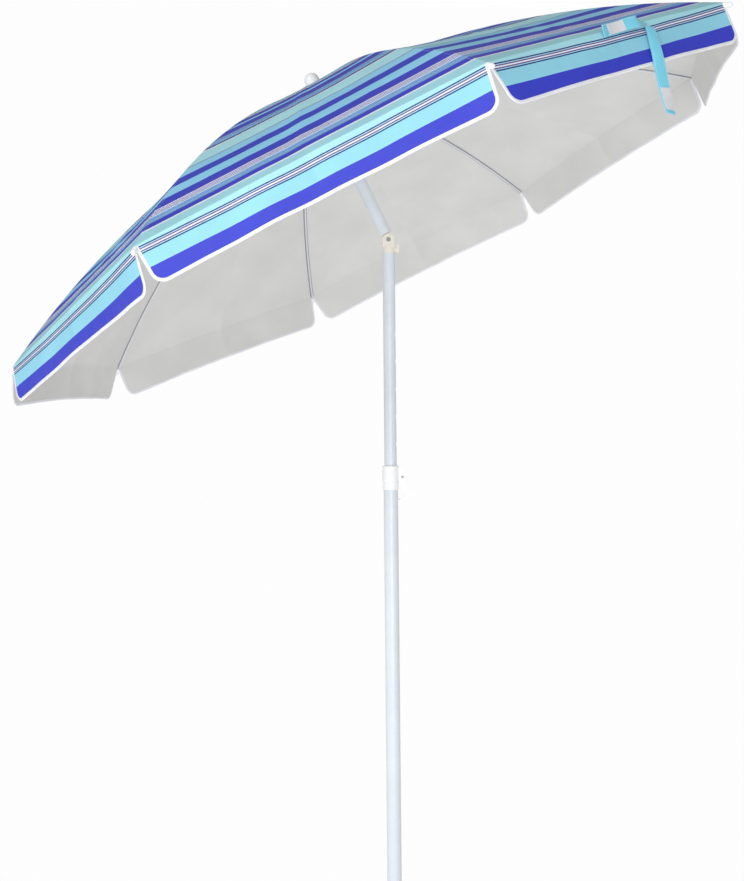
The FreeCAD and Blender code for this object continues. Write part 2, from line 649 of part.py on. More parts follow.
def make_crown_hub():
    """Notched plastic hub that the ribs hang on, with its wire ring and rivet."""
    core = turned("hub_core", [
        ("upper_tube_radius + plug_gap", "hub_height - hub_skirt"),
        ("upper_tube_radius + hub_skirt_wall", "hub_height - hub_skirt"),
        ("upper_tube_radius + hub_skirt_wall", "hub_height - hub_flange_foot"),
        ("hub_radius", "hub_height - hub_flange_foot"),
        ("hub_radius", "hub_height + hub_top"),
        ("upper_tube_radius + plug_gap", "hub_height + hub_top"),
    ])
    slots = radial_slots("hub_slot", "hub_pin_circle - 2.8", "hub_radius + 2",
                         "hub_height - 8", "hub_height + 6")
    groove = ring_groove("hub_groove", "hub_pin_circle", "hub_height")
    place = ("0", "hub_height - hub_rivet_drop")
    rivet_hole = pin("hub_rivet_hole", "hub_rivet_radius + plug_gap", "hub_radius", *place)
    keep("crown_hub", cut("hub_cut", core, groove, rivet_hole, *slots), LEAN)
    keep("hub_wire_ring", ring("hub_wire", "hub_pin_circle"), lean_at(size["hub_height"]))
    outside = "upper_tube_radius + hub_skirt_wall"
    shank = pin("hub_rivet_shank", "hub_rivet_radius", f"{outside} + 0.6", *place)
    heads = pin("hub_rivet_heads", "hub_rivet_radius + 1.1", f"{outside} + 1.2", *place)
    between = pin("hub_rivet_between", "hub_rivet_radius + 2.5", f"{outside} + 0.1", *place)
    keep("hub_rivet", join("hub_rivet_whole", shank, cut("hub_rivet_caps", heads, between)), LEAN)


def make_crown_patch():
    """Round cloth patch over the hub that closes the middle of the canopy."""
    corners = [
        ("upper_tube_radius - 0.5", "hub_height + patch_lift"),
        ("hub_radius + 1", "hub_height + patch_lift"),
        ("patch_reach", "hub_height - 0.4"),
        ("patch_reach", "hub_height - 0.4 + fabric_thickness"),
        ("hub_radius + 1.4", "hub_height + patch_lift + fabric_thickness"),
        ("upper_tube_radius - 0.5", "hub_height + patch_lift + fabric_thickness"),
    ]
    keep("crown_patch", turned("patch", corners), LEAN)


def make_finial():
    """Rounded knob on the crown, with a stem in the upper tube."""
    stem = "upper_tube_radius - tube_wall - plug_gap"
    corners = [
        ("0", "hub_height - finial_stem"),
        (stem, "hub_height - finial_stem"),
        (stem, "hub_height + finial_foot"),
        ("finial_radius - 0.5", "hub_height + finial_foot"),
        ("finial_radius", "hub_height + 8"),
        ("finial_radius", "finial_top - 13"),
        ("finial_radius * 0.93", "finial_top - 8"),
        ("finial_radius * 0.74", "finial_top - 3.8"),
        ("finial_radius * 0.42", "finial_top - 0.9"),
        ("0", "finial_top"),
    ]
    keep("finial", turned("knob", corners), LEAN)


def make_runner():
    """Sliding sleeve with a notched flange and the wire ring that the stretchers hang on."""
    pivots = "runner_open_height"
    sleeve = turned("runner_sleeve", [
        ("upper_tube_radius + running_gap", f"{pivots} - runner_skirt"),
        ("runner_skirt_radius", f"{pivots} - runner_skirt"),
        ("runner_skirt_radius", f"{pivots} - 8.5"),
        ("runner_radius", f"{pivots} - runner_flange_half"),
        ("runner_radius", f"{pivots} + runner_flange_half"),
        ("upper_tube_radius + running_gap", f"{pivots} + runner_flange_half"),
    ])
    slots = radial_slots("runner_slot", "runner_pin_circle - 3.8", "runner_radius + 2",
                         f"{pivots} - 9", f"{pivots} + 8", "stretcher_side")
    groove = ring_groove("runner_groove", "runner_pin_circle", pivots)
    keep("runner", cut("runner_cut", sleeve, groove, *slots), LEAN)
    keep("runner_wire_ring", ring("runner_wire", "runner_pin_circle"), lean_at(size["runner_open_height"]))


# ---------------------------------------------------------------- ribs and stretchers

def make_rib(index):
    """Bowed wire rib with a flattened eye at the hub and a riveted joint plate for the stretcher."""
    eye_centre = line.point(line.start)
    first = line.slope_at(size["rib_wire_start"])
    last = line.end
    wire = bind(doc.addObject("Part::Torus", f"rib_wire_{index}"), Radius2="rib_radius")
    wire.Radius1 = line.radius
    wire.Angle3 = math.degrees(last - first)
    centre = FreeCAD.Vector(line.centre_out, 0, line.centre_up)
    upright = FreeCAD.Rotation(FreeCAD.Vector(1, 0, 0), 90)
    advance = FreeCAD.Rotation(FreeCAD.Vector(0, 0, 1), 90 - math.degrees(last))
    wire.Placement = FreeCAD.Placement(centre, upright * advance)

    half = size["stretcher_thickness"] / 2
    across = FreeCAD.Vector(0, 1, 0)
    eye = Part.makeCylinder(size["rib_eye_radius"], 2 * half, eye_centre - across * half, across)
    height = size["rib_eye_height"]
    flat = Part.makeBox(size["rib_eye_reach"], 2 * half, height, FreeCAD.Vector(0, -half, -height / 2))
    fall = math.degrees(line.slope_at(size["rib_eye_reach"] / 2))
    flat.Placement = FreeCAD.Placement(eye_centre, FreeCAD.Rotation(across, fall)) * flat.Placement
    hole_radius = size["ring_wire_radius"] + size["running_gap"]
    hole = Part.makeCylinder(hole_radius, 8 * half, eye_centre - across * 4 * half, across)

    joint_slope = line.slope_at(size["rib_joint_distance"])
    length = size["joint_plate_length"]
    drop = size["joint_plate_rise"] - size["joint_plate_height"]
    corner = FreeCAD.Vector(-length / 2, -size["rib_radius"], drop)
    plate_box = Part.makeBox(length, 2 * size["rib_radius"], size["joint_plate_height"], corner)
    plate_box = plate_box.makeFillet(size["joint_plate_round"], [
        edge for edge in plate_box.Edges
        if abs(edge.tangentAt(edge.FirstParameter).y) > 0.9 and edge.CenterOfMass.z < 0
    ])
    swing = FreeCAD.Rotation(across, math.degrees(joint_slope))
    plate_box.Placement = FreeCAD.Placement(line.point(joint_slope), swing) * plate_box.Placement
    ends = doc.addObject("Part::Feature", f"rib_ends_{index}")
    ends.Shape = eye.fuse(flat).cut(hole).fuse(plate_box)
    keep(f"rib_{index}", join(f"rib_whole_{index}", wire, ends), around(index - 1))


def make_rib_tip(index):
    """Round plastic cap on the rib's end, which the cloth's corner is sewn to."""
    overlap = size["tip_length"] * 0.4 - 0.4
    corners = [
        ("0", "0"),
        ("rib_radius + plug_gap", "0"),
        ("tip_radius - 0.6", "0"),
        ("tip_radius", "1"),
        ("tip_radius", "tip_length - 4"),
        ("tip_radius * 0.75", "tip_length - 1.2"),
        ("0", "tip_length"),
    ]
    cap = turned(f"tip_cap_{index}", corners)
    bore = rod(f"tip_bore_{index}", "rib_radius + plug_gap", f"{overlap} + 1.2", "0", "0", "0 - 1")
    item = cut(f"tip_cut_{index}", cap, bore)
    start = line.point(line.end - overlap / line.radius)
    lean = FreeCAD.Rotation(FreeCAD.Vector(0, 1, 0), 90 + math.degrees(line.end))
    keep(f"rib_tip_{index}", item, around(index - 1) * FreeCAD.Placement(start, lean))


def stretcher_ends():
    """Pivot on the runner's ring and joint on the rib, in the rib plane."""
    side = size["stretcher_side"]
    out = math.sqrt(size["runner_pin_circle"] ** 2 - side ** 2)
    low = FreeCAD.Vector(out, side, size["runner_open_height"])
    slope = line.slope_at(size["rib_joint_distance"])
    high = line.point(slope, -size["rib_joint_drop"], side)
    return low, high


def make_stretcher(index):
    """Flat bar from the runner's ring to the rib joint, with a rivet head on its free side."""
    low, high = stretcher_ends()
    half = size["stretcher_thickness"] / 2
    depth = size["stretcher_depth"]
    length = (high - low).Length
    bar = Part.makeBox(length, 2 * half, depth, FreeCAD.Vector(0, -half, -depth / 2))
    along = FreeCAD.Vector(0, 1, 0)
    for place in (0.0, length):
        start = FreeCAD.Vector(place, -half, 0)
        bar = bar.fuse(Part.makeCylinder(size["stretcher_eye_radius"], 2 * half, start, along))
    hole_radius = size["ring_wire_radius"] + 2 * size["running_gap"]
    bar = bar.cut(Part.makeCylinder(hole_radius, 8 * half, FreeCAD.Vector(0, -4 * half, 0), along))
    head = FreeCAD.Vector(length, half, 0)
    bar = bar.fuse(Part.makeCylinder(size["joint_rivet_radius"], size["joint_rivet_height"], head, along))
    item = doc.addObject("Part::Feature", f"stretcher_bar_{index}")
    item.Shape = bar.removeSplitter()
    rise = math.degrees(math.atan2(high.z - low.z, high.x - low.x))
    swing = FreeCAD.Placement(low, FreeCAD.Rotation(FreeCAD.Vector(0, 1, 0), -rise))
    keep(f"stretcher_{index}", item, around(index - 1) * swing)


# ---------------------------------------------------------------- canopy

def gore_middle(slope, offset):
    """Point on the middle line between a rib and its left-hand neighbour."""
    rib_point = line.point(slope, offset)
    half_step = math.pi / size["rib_count"]
    reach = rib_point.x * math.cos(half_step)
    inset = size["fabric_gap"] / 2
    across = FreeCAD.Vector(-math.sin(half_step), math.cos(half_step), 0)
    outward = FreeCAD.Vector(math.cos(half_step), math.sin(half_step), 0)
    return outward * reach - across * inset + FreeCAD.Vector(0, 0, rib_point.z)


def half_gore():
    """Cloth from a rib to the middle of the next gore, with half of that gore's flap."""
    offset = size["rib_radius"] + size["fabric_gap"] + size["fabric_thickness"]
    first = line.slope_out(size["crown_opening"], offset)
    along_rib = line.arc(first, rim_slope, offset)
    slopes = [first + (rim_slope - first) * step / 8 for step in range(9)]
    middle_line = Part.BSplineCurve()
    middle_line.interpolate([gore_middle(slope, offset) for slope in slopes])
    surface = Part.makeRuledSurface(along_rib, middle_line.toShape())
    down = FreeCAD.Vector(0, 0, -size["fabric_thickness"])
    cloth = surface.extrude(down)

    corner = line.point(rim_slope, offset)
    centre = gore_middle(rim_slope, offset)
    across = (centre - corner).normalize()
    half_step = math.pi / size["rib_count"]
    outward = FreeCAD.Vector(math.cos(half_step), math.sin(half_step), 0)
    splay = math.radians(size["flap_splay"])
    hang = outward * math.sin(splay) - FreeCAD.Vector(0, 0, math.cos(splay))
    width = (centre - corner).Length
    fall = size["flap_height"]
    bend = size["flap_corner"]
    top = -size["fabric_thickness"] * 0.4

    def at(run, drop):
        """Point of the flap's plane."""
        return corner + across * run + hang * drop

    side = size["flap_gap"]
    inset = bend * (1 - math.sqrt(0.5))
    arc_middle = at(side + inset, fall - inset)
    edges = [
        Part.LineSegment(at(side, -top), at(side, fall - bend)).toShape(),
        Part.Arc(at(side, fall - bend), arc_middle, at(side + bend, fall)).toShape(),
        Part.LineSegment(at(side + bend, fall), at(width, fall)).toShape(),
        Part.LineSegment(at(width, fall), at(width, -top)).toShape(),
        Part.LineSegment(at(width, -top), at(side, -top)).toShape(),
    ]
    face = Part.Face(Part.Wire(edges))
    inward = across.cross(hang).normalize()
    if inward.dot(outward) > 0:
        inward = -inward
    flap = face.extrude(inward * size["fabric_thickness"])
    return cloth.fuse(flap)


def section_shape():
    """Cloth of the two half gores that hang on one rib."""
    left = half_gore()
    right = left.mirror(FreeCAD.Vector(0, 0, 0), FreeCAD.Vector(0, 1, 0))
    return left.fuse(right).removeSplitter()


def make_canopy_section(index, shape):
    """One section of the canopy, carried by its rib."""
    item = doc.addObject("Part::Feature", f"canopy_cloth_{index}")
    item.Shape = shape
    keep(f"canopy_section_{index}", item, around(index - 1))


def slab(origin, along, sideways, up, length, breadth, height):
    """Box with its corner at origin and edges along three given directions."""
    box = Part.makeBox(length, breadth, height)
    turn = FreeCAD.Matrix(
        along.x, sideways.x, up.x, origin.x,
        along.y, sideways.y, up.y, origin.y,
        along.z, sideways.z, up.z, origin.z,
        0, 0, 0, 1)
    return box.transformGeometry(turn)


def make_closing_strap():
    """Strap sewn at the rim beside rib 4: one end stands along the rim, the other hangs over the flap."""
    offset = size["rib_radius"] + size["fabric_gap"] + size["fabric_thickness"]
    half_step = math.pi / size["rib_count"]
    outward = FreeCAD.Vector(math.cos(half_step), -math.sin(half_step), 0)
    across = FreeCAD.Vector(math.sin(half_step), math.cos(half_step), 0)
    upright = FreeCAD.Vector(0, 0, 1)
    rim = line.point(rim_slope, offset)
    rim_out = rim.x * math.cos(half_step)
    slope = math.atan2(math.tan(rim_slope), math.cos(half_step))
    sewn = outward * rim_out + across * size["strap_place"] + upright * rim.z
    width = size["strap_width"]
    thick = size["strap_thickness"]
    lift = size["strap_lift"]

    stand = slope - math.radians(size["strap_stand"])
    breadth_up = outward * math.sin(stand) + upright * math.cos(stand)
    face_front = outward * math.cos(stand) - upright * math.sin(stand)
    uphill = upright * math.sin(slope) - outward * math.cos(slope)
    laid_start = sewn + uphill * size["strap_inset"] + breadth_up * lift
    laid = slab(laid_start, -across, breadth_up, face_front, size["strap_laid_length"], width, thick)

    splay = math.radians(size["flap_splay"])
    swing = math.radians(size["strap_swing"])
    down_flap = outward * math.sin(splay) - upright * math.cos(splay)
    face_out = outward * math.cos(splay) + upright * math.sin(splay)
    hang = down_flap * math.cos(swing) - across * math.sin(swing)
    beside = across * math.cos(swing) + down_flap * math.sin(swing)
    hung_start = sewn + face_out * lift - beside * width
    hung = slab(hung_start, hang, beside, face_out, size["strap_hung_length"], width, thick)
    strap = doc.addObject("Part::Feature", "strap_ends")
    strap.Shape = Part.makeCompound([laid, hung])
    keep("closing_strap", strap, around(STRAP_RIB - 1))

    patch = size["patch_length"]
    edge = size["patch_edge"]
    tall = size["patch_thickness"]
    clear = thick + size["plug_gap"]
    hook_start = laid_start + breadth_up * edge + face_front * clear
    hook_start -= across * (size["strap_laid_length"] - patch - size["hook_end"])
    hook = slab(hook_start, -across, breadth_up, face_front, patch, width - 2 * edge, tall)
    loop_start = hung_start + beside * edge + face_out * clear
    loop_start += hang * (size["strap_hung_length"] - patch - size["loop_end"])
    loop = slab(loop_start, hang, beside, face_out, patch, width - 2 * edge, tall)
    for label, shape in (("hook_patch", hook), ("loop_patch", loop)):
        item = doc.addObject("Part::Feature", label + "_tape")
        item.Shape = shape
        keep(label, item, around(STRAP_RIB - 1))


# ---------------------------------------------------------------- build, check and write

def build():
    """Make every sub-part in the document."""
    make_ground_spike()
    make_lower_tube()
    make_height_collar()
    make_clip_pin()
    make_height_clip()
    make_middle_tube()
    make_middle_tube_glide()
    make_knuckle_base()
    make_tilt_rivet()
    make_tilt_button()
    make_knuckle_head()
    make_upper_tube()
    make_runner_catch()
    make_crown_hub()
    make_crown_patch()
    make_finial()
    make_runner()
    cloth = section_shape()
    for index in range(1, int(size["rib_count"]) + 1):
        make_rib(index)
        make_rib_tip(index)
        make_stretcher(index)
        make_canopy_section(index, cloth)
    make_closing_strap()


def check():
    """Stop if any object failed to recompute or any sub-part has a bad shape."""
    doc.recompute()
    for item in doc.Objects:
        if "Invalid" in item.State or "Error" in item.State:
            raise RuntimeError(f"{item.Name} is in state {item.State}")
    for label, item in pieces.items():
        if item.Shape.isNull() or not item.Shape.isValid() or not item.Shape.Solids:
            raise RuntimeError(f"{label} has no valid solid")


def write():
    """Write one STEP file for each sub-part."""
    os.makedirs("parts", exist_ok=True)
    for label, item in pieces.items():
        item.Shape.exportStep(os.path.join("parts", label + ".step"))
    print(len(pieces), "sub-parts written")


build()
check()
write()
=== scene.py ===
import json
import logging
import math
from dataclasses import dataclass
from enum import Enum
from typing import Iterable, Sequence

import bmesh
import bpy
from mathutils import Matrix, Vector, noise


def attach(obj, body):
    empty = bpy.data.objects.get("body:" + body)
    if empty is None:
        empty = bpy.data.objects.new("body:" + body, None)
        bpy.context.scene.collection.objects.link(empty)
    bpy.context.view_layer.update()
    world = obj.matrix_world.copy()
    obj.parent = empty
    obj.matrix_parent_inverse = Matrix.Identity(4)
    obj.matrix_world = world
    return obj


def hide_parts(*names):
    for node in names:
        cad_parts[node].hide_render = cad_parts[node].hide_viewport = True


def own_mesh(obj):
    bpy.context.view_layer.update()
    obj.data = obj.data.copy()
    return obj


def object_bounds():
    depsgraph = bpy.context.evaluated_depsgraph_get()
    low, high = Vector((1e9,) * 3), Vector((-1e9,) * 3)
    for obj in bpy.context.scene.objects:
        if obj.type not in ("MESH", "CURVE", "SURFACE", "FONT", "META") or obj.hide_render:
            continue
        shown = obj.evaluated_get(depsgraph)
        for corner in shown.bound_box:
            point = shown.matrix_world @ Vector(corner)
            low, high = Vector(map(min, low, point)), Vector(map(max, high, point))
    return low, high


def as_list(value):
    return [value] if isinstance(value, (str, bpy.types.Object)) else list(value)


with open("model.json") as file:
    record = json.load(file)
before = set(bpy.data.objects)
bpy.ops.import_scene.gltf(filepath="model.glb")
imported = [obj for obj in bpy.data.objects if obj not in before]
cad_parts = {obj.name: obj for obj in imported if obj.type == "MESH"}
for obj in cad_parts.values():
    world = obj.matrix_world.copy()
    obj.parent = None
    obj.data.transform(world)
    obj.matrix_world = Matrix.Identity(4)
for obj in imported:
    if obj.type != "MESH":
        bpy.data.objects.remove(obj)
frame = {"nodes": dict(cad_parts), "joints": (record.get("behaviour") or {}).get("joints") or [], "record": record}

# The beach umbrella's looks: cloth, tapes, strap and finishes, built round the imported frame. Metres.

CAD_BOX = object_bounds()
JOINTS = {joint["name"]: joint for joint in frame["joints"]}
RIBS = 8
HALF_STEP = math.pi / RIBS
MM = 0.001
CLOTH_UV = "cloth"
WELD = 1e-6
log = logging.getLogger("beach_umbrella")

Point = tuple[Vector, tuple[float, float]]
Rows = list[list[Point]]


class Dye(Enum):
    """Printing inks and yarns of the cloth, as sRGB values from 0 to 255."""

    ROYAL = (58, 66, 200)
    NAVY = (36, 30, 120)
    VIOLET = (92, 84, 190)
    STEEL = (108, 136, 206)
    CYAN = (148, 214, 236)
    AQUA = (182, 238, 247)
    PALE_AQUA = (168, 224, 235)
    SKY = (150, 218, 250)
    WHITE = (240, 244, 250)
    GREY = (150, 172, 196)
    PLUM = (112, 78, 150)
    TEAL_GREY = (120, 150, 160)

    def linear(self) -> tuple[float, float, float, float]:
        """Return the ink as a linear colour for a node socket."""
        return linear(self.value)


def linear(colour: Sequence[float], gain: float = 1.0) -> tuple[float, float, float, float]:
    """Turn an sRGB colour into a linear one.

    Args:
        colour: three values from 0 to 255.
        gain: factor on all three channels.

    Returns:
        Red, green, blue and alpha for a node socket.
    """
    channels = []
    for value in colour:
        share = value / 255
        flat = share / 12.92 if share <= 0.04045 else ((share + 0.055) / 1.055) ** 2.4
        channels.append(min(1.0, flat * gain))
    return (*channels, 1.0)


def eased(share: float) -> float:
    """Ease a share in and out between 0 and 1."""
    share = max(0.0, min(1.0, share))
    return share * share * (3 - 2 * share)


# ---------------------------------------------------------------- node trees


class Graph:
    """Short words for wiring one shader node tree."""

    def __init__(self, tree: bpy.types.NodeTree) -> None:
        """Keep the tree that new nodes go into."""
        self.tree = tree

    def add(self, kind: str, **settings: object) -> bpy.types.Node:
        """Add a node and set its properties.

        Args:
            kind: node type without its ShaderNode prefix.
            **settings: properties of the node.

        Returns:
            The new node.
        """
        node = self.tree.nodes.new("ShaderNode" + kind)
        for name, value in settings.items():
            setattr(node, name, value)
        return node

    def feed(self, socket: bpy.types.NodeSocket, value: object) -> None:
        """Link a socket to a source, or set its value.

        Args:
            socket: the input socket.
            value: another node's output, or a plain value.
        """
        if isinstance(value, bpy.types.NodeSocket):
            self.tree.links.new(value, socket)
        else:
            socket.default_value = value

    def math(self, operation: str, first: object, second: object = 0.0) -> bpy.types.NodeSocket:
        """Add a Math node.

        Args:
            operation: the node's operation.
            first: value or source of the first input.
            second: value or source of the second input.

        Returns:
            The node's output.
        """
        node = self.add("Math", operation=operation)
        self.feed(node.inputs[0], first)
        self.feed(node.inputs[1], second)
        return node.outputs[0]

    def mix(self, share: object, first: object, second: object, blend: str = "MIX") -> bpy.types.NodeSocket:
        """Add a colour Mix node.

        Args:
            share: how much of the second colour shows.
            first: first colour or its source.
            second: second colour or its source.
            blend: how the colours combine.

        Returns:
            The node's colour output.
        """
        node = self.add("Mix", data_type="RGBA", blend_type=blend)
        self.feed(node.inputs[0], share)
        self.feed(node.inputs[6], first)
        self.feed(node.inputs[7], second)
        return node.outputs[2]

    def noise(self, vector: object, scale: float, detail: float = 3.0) -> bpy.types.NodeSocket:
        """Add a Noise Texture.

        Args:
            vector: source of the coordinates.
            scale: the noise's scale.
            detail: the noise's detail.

        Returns:
            The noise as a value.
        """
        node = self.add("TexNoise")
        self.feed(node.inputs["Vector"], vector)
        node.inputs["Scale"].default_value = scale
        node.inputs["Detail"].default_value = detail
        return node.outputs["Fac"]

    def remap(self, value: object, low: float, high: float, to_low: float,
              to_high: float) -> bpy.types.NodeSocket:
        """Add a clamped Map Range node.

        Args:
            value: source of the value.
            low: value that gives to_low.
            high: value that gives to_high.
            to_low: result at the low end.
            to_high: result at the high end.

        Returns:
            The node's output.
        """
        node = self.add("MapRange")
        for index, entry in enumerate((value, low, high, to_low, to_high)):
            self.feed(node.inputs[index], entry)
        return node.outputs[0]

    def bump(self, height: object, strength: float, distance: float,
             normal: object = None) -> bpy.types.NodeSocket:
        """Add a Bump node.

        Args:
            height: source of the height.
            strength: the bump's strength.
            distance: the bump's full height in metres.
            normal: normal that the bump lies on, or None for the surface's own.

        Returns:
            The bumped normal.
        """
        node = self.add("Bump")
        node.inputs["Strength"].default_value = strength
        node.inputs["Distance"].default_value = distance
        self.feed(node.inputs["Height"], height)
        if normal is not None:
            self.feed(node.inputs["Normal"], normal)
        return node.outputs["Normal"]

    def split(self, vector: object) -> bpy.types.bpy_prop_collection:
        """Return a vector's three parts as sources."""
        node = self.add("SeparateXYZ")
        self.feed(node.inputs[0], vector)
        return node.outputs

    def shaded(self, colour: object, shade: object) -> bpy.types.NodeSocket:
        """Return a colour multiplied by a shade."""
        grey = self.add("CombineColor")
        for socket in grey.inputs:
            self.feed(socket, shade)
        return self.mix(1.0, colour, grey.outputs[0], "MULTIPLY")

    def group(self, tree: bpy.types.NodeTree, **inputs: object) -> bpy.types.Node:
        """Place a node group.

        Args:
            tree: the group.
            **inputs: values or sources for its inputs, with underscores for spaces.

        Returns:
            The group's node.
        """
        node = self.add("Group", node_tree=tree)
        for name, value in inputs.items():
            self.feed(node.inputs[name.replace("_", " ")], value)
        return node


def new_group(name: str, inputs: Sequence[tuple[str, str, float | None]],
              outputs: Sequence[tuple[str, str]]) -> tuple[bpy.types.NodeTree, Graph, dict, dict]:
    """Start a shader node group.

    Args:
        name: the group's name.
        inputs: name, kind and default of each input.
        outputs: name and kind of each output.

    Returns:
        The tree, its graph, its inputs as sources and its outputs as targets.
    """
    tree = bpy.data.node_groups.new(name, "ShaderNodeTree")
    for label, kind, default in inputs:
        socket = tree.interface.new_socket(name=label, in_out="INPUT", socket_type="NodeSocket" + kind)
        if default is not None:
            socket.default_value = default
    for label, kind in outputs:
        tree.interface.new_socket(name=label, in_out="OUTPUT", socket_type="NodeSocket" + kind)
    graph = Graph(tree)
    source = tree.nodes.new("NodeGroupInput")
    target = tree.nodes.new("NodeGroupOutput")
    return tree, graph, {s.name: s for s in source.outputs}, {s.name: s for s in target.inputs}


def weave_group() -> bpy.types.NodeTree:
    """Plain weave: threads over and under each other, as a height and a shade.

    Returns:
        Group with inputs Vector and Pitch and outputs Height and Shade.
    """
    tree, graph, given, wanted = new_group(
        "plain_weave", [("Vector", "Vector", None), ("Pitch", "Float", 0.0006)],
        [("Height", "Float"), ("Shade", "Float")])
    wide, long, _ = graph.split(given["Vector"])
    turns = graph.math("DIVIDE", math.pi, given["Pitch"])
    across = graph.math("SINE", graph.math("MULTIPLY", wide, turns))
    along = graph.math("SINE", graph.math("MULTIPLY", long, turns))
    height = graph.math("MULTIPLY", across, along)
    graph.feed(wanted["Height"], height)
    graph.feed(wanted["Shade"], graph.remap(height, -1.0, 1.0, 0.93, 1.03))
    return tree


def stitch_group() -> bpy.types.NodeTree:
    """One row of stitches: thread dashes with a pulled-down line under them.

    Returns:
        Group with inputs Along, Across, Pitch and Width and outputs Mask and Height.
    """
    tree, graph, given, wanted = new_group(
        "stitch_row",
        [("Along", "Float", 0.0), ("Across", "Float", 0.0), ("Pitch", "Float", 0.003),
         ("Width", "Float", 0.0007)],
        [("Mask", "Float"), ("Height", "Float")])
    turn = graph.math("FRACT", graph.math("DIVIDE", given["Along"], given["Pitch"]))
    dash = graph.math("LESS_THAN", turn, 0.7)
    gap = graph.math("ABSOLUTE", given["Across"])
    near = graph.math("LESS_THAN", gap, graph.math("MULTIPLY", given["Width"], 0.5))
    mask = graph.math("MULTIPLY", dash, near)
    pull = graph.add("MapRange", interpolation_type="SMOOTHSTEP")
    for index, entry in enumerate((gap, 0.0, graph.math("MULTIPLY", given["Width"], 2.5), -0.6, 0.0)):
        graph.feed(pull.inputs[index], entry)
    graph.feed(wanted["Mask"], mask)
    graph.feed(wanted["Height"], graph.math("ADD", mask, pull.outputs[0]))
    return tree


def grain_group() -> bpy.types.NodeTree:
    """Fine surface grain with slow changes of tint and gloss, for paint and moulded plastic.

    Returns:
        Group with inputs Vector, Fine and Coarse and outputs Height, Tint and Gloss.
    """
    tree, graph, given, wanted = new_group(
        "moulded_grain", [("Vector", "Vector", None), ("Fine", "Float", 900.0), ("Coarse", "Float", 14.0)],
        [("Height", "Float"), ("Tint", "Float"), ("Gloss", "Float")])
    fine = graph.add("TexNoise")
    slow = graph.add("TexNoise")
    for node, scale in ((fine, "Fine"), (slow, "Coarse")):
        graph.feed(node.inputs["Vector"], given["Vector"])
        graph.feed(node.inputs["Scale"], given[scale])
    fine.inputs["Detail"].default_value = 2.0
    slow.inputs["Detail"].default_value = 4.0
    graph.feed(wanted["Height"], fine.outputs["Fac"])
    graph.feed(wanted["Tint"], graph.remap(slow.outputs["Fac"], 0.3, 0.7, 0.0, 1.0))
    mixed = graph.math("MULTIPLY_ADD", fine.outputs["Fac"], 0.35)
    mixed.node.inputs[2].default_value = 0.0
    graph.feed(wanted["Gloss"], graph.math("ADD", mixed, slow.outputs["Fac"]))
    return tree


def wear_group() -> bpy.types.NodeTree:
    """Long thin rub marks and small chips.

    Returns:
        Group with inputs Vector and Amount and outputs Rub and Chip.
    """
    tree, graph, given, wanted = new_group(
        "rubbed_wear", [("Vector", "Vector", None), ("Amount", "Float", 0.3)],
        [("Rub", "Float"), ("Chip", "Float")])
    stretch = graph.add("Mapping")
    stretch.inputs["Scale"].default_value = (700.0, 700.0, 14.0)
    graph.feed(stretch.inputs["Vector"], given["Vector"])
    lines = graph.noise(stretch.outputs[0], scale=1.0, detail=2.0)
    patches = graph.noise(given["Vector"], scale=22.0, detail=3.0)
    level = graph.remap(given["Amount"], 0.0, 1.0, 0.78, 0.5)
    rub = graph.math("GREATER_THAN", lines, level)
    where = graph.remap(patches, 0.48, 0.62, 0.0, 1.0)
    graph.feed(wanted["Rub"], graph.math("MULTIPLY", rub, where))
    chips = graph.noise(given["Vector"], scale=420.0, detail=1.0)
    graph.feed(wanted["Chip"], graph.math("GREATER_THAN", chips, graph.math("ADD", level, 0.02)))
    return tree


@dataclass(frozen=True)
class Band:
    """One printed band: where it starts above the rim, in millimetres, and its ink or inks."""

    start: float
    inks: tuple[Dye, ...]
    line: float = 0.0

    def lines(self, end: float) -> list[tuple[float, Dye]]:
        """List the band's own lines.

        Args:
            end: where the next band starts.

        Returns:
            Start in millimetres and ink of each line.
        """
        if not self.line:
            return [(self.start, self.inks[0])]
        count = max(1, round((end - self.start) / self.line))
        return [(self.start + index * (end - self.start) / count, self.inks[index % len(self.inks)])
                for index in range(count)]


RIM_PINS = (Dye.NAVY, Dye.PALE_AQUA, Dye.PLUM, Dye.WHITE, Dye.PLUM, Dye.PALE_AQUA, Dye.NAVY)
BOLD_PINS = (Dye.WHITE, Dye.VIOLET)
FINE_PINS = (Dye.STEEL, Dye.SKY, Dye.VIOLET, Dye.SKY)
GREY_PINS = (Dye.TEAL_GREY, Dye.WHITE, Dye.PLUM, Dye.WHITE)
PRINT = (
    Band(-78, (Dye.ROYAL,)), Band(-38, (Dye.CYAN,)), Band(-16, RIM_PINS, 1.8), Band(-3.4, (Dye.PALE_AQUA,)),
    Band(30, (Dye.WHITE,)), Band(35, (Dye.ROYAL,)), Band(51, FINE_PINS, 1.8), Band(72, BOLD_PINS, 3.2),
    Band(96, (Dye.ROYAL,)), Band(125, (Dye.SKY,)), Band(161, (Dye.ROYAL,)), Band(192, (Dye.SKY,)),
    Band(225, (Dye.GREY,)), Band(231, (Dye.AQUA,)), Band(288, (Dye.WHITE,)), Band(295, (Dye.NAVY,)),
    Band(303, FINE_PINS, 2.25), Band(338, (Dye.VIOLET,)), Band(352, (Dye.ROYAL,)), Band(384, (Dye.SKY,)),
    Band(404, (Dye.ROYAL,)), Band(440, GREY_PINS, 2.2), Band(474, (Dye.SKY,)), Band(494, (Dye.CYAN,)),
    Band(560, (Dye.WHITE,)), Band(566, (Dye.NAVY,)), Band(574, FINE_PINS, 2.2), Band(604, (Dye.VIOLET,)),
    Band(644, (Dye.ROYAL,)), Band(684, (Dye.SKY,)),
)
PRINT_END = 760.0
RAMP_STOPS = 30


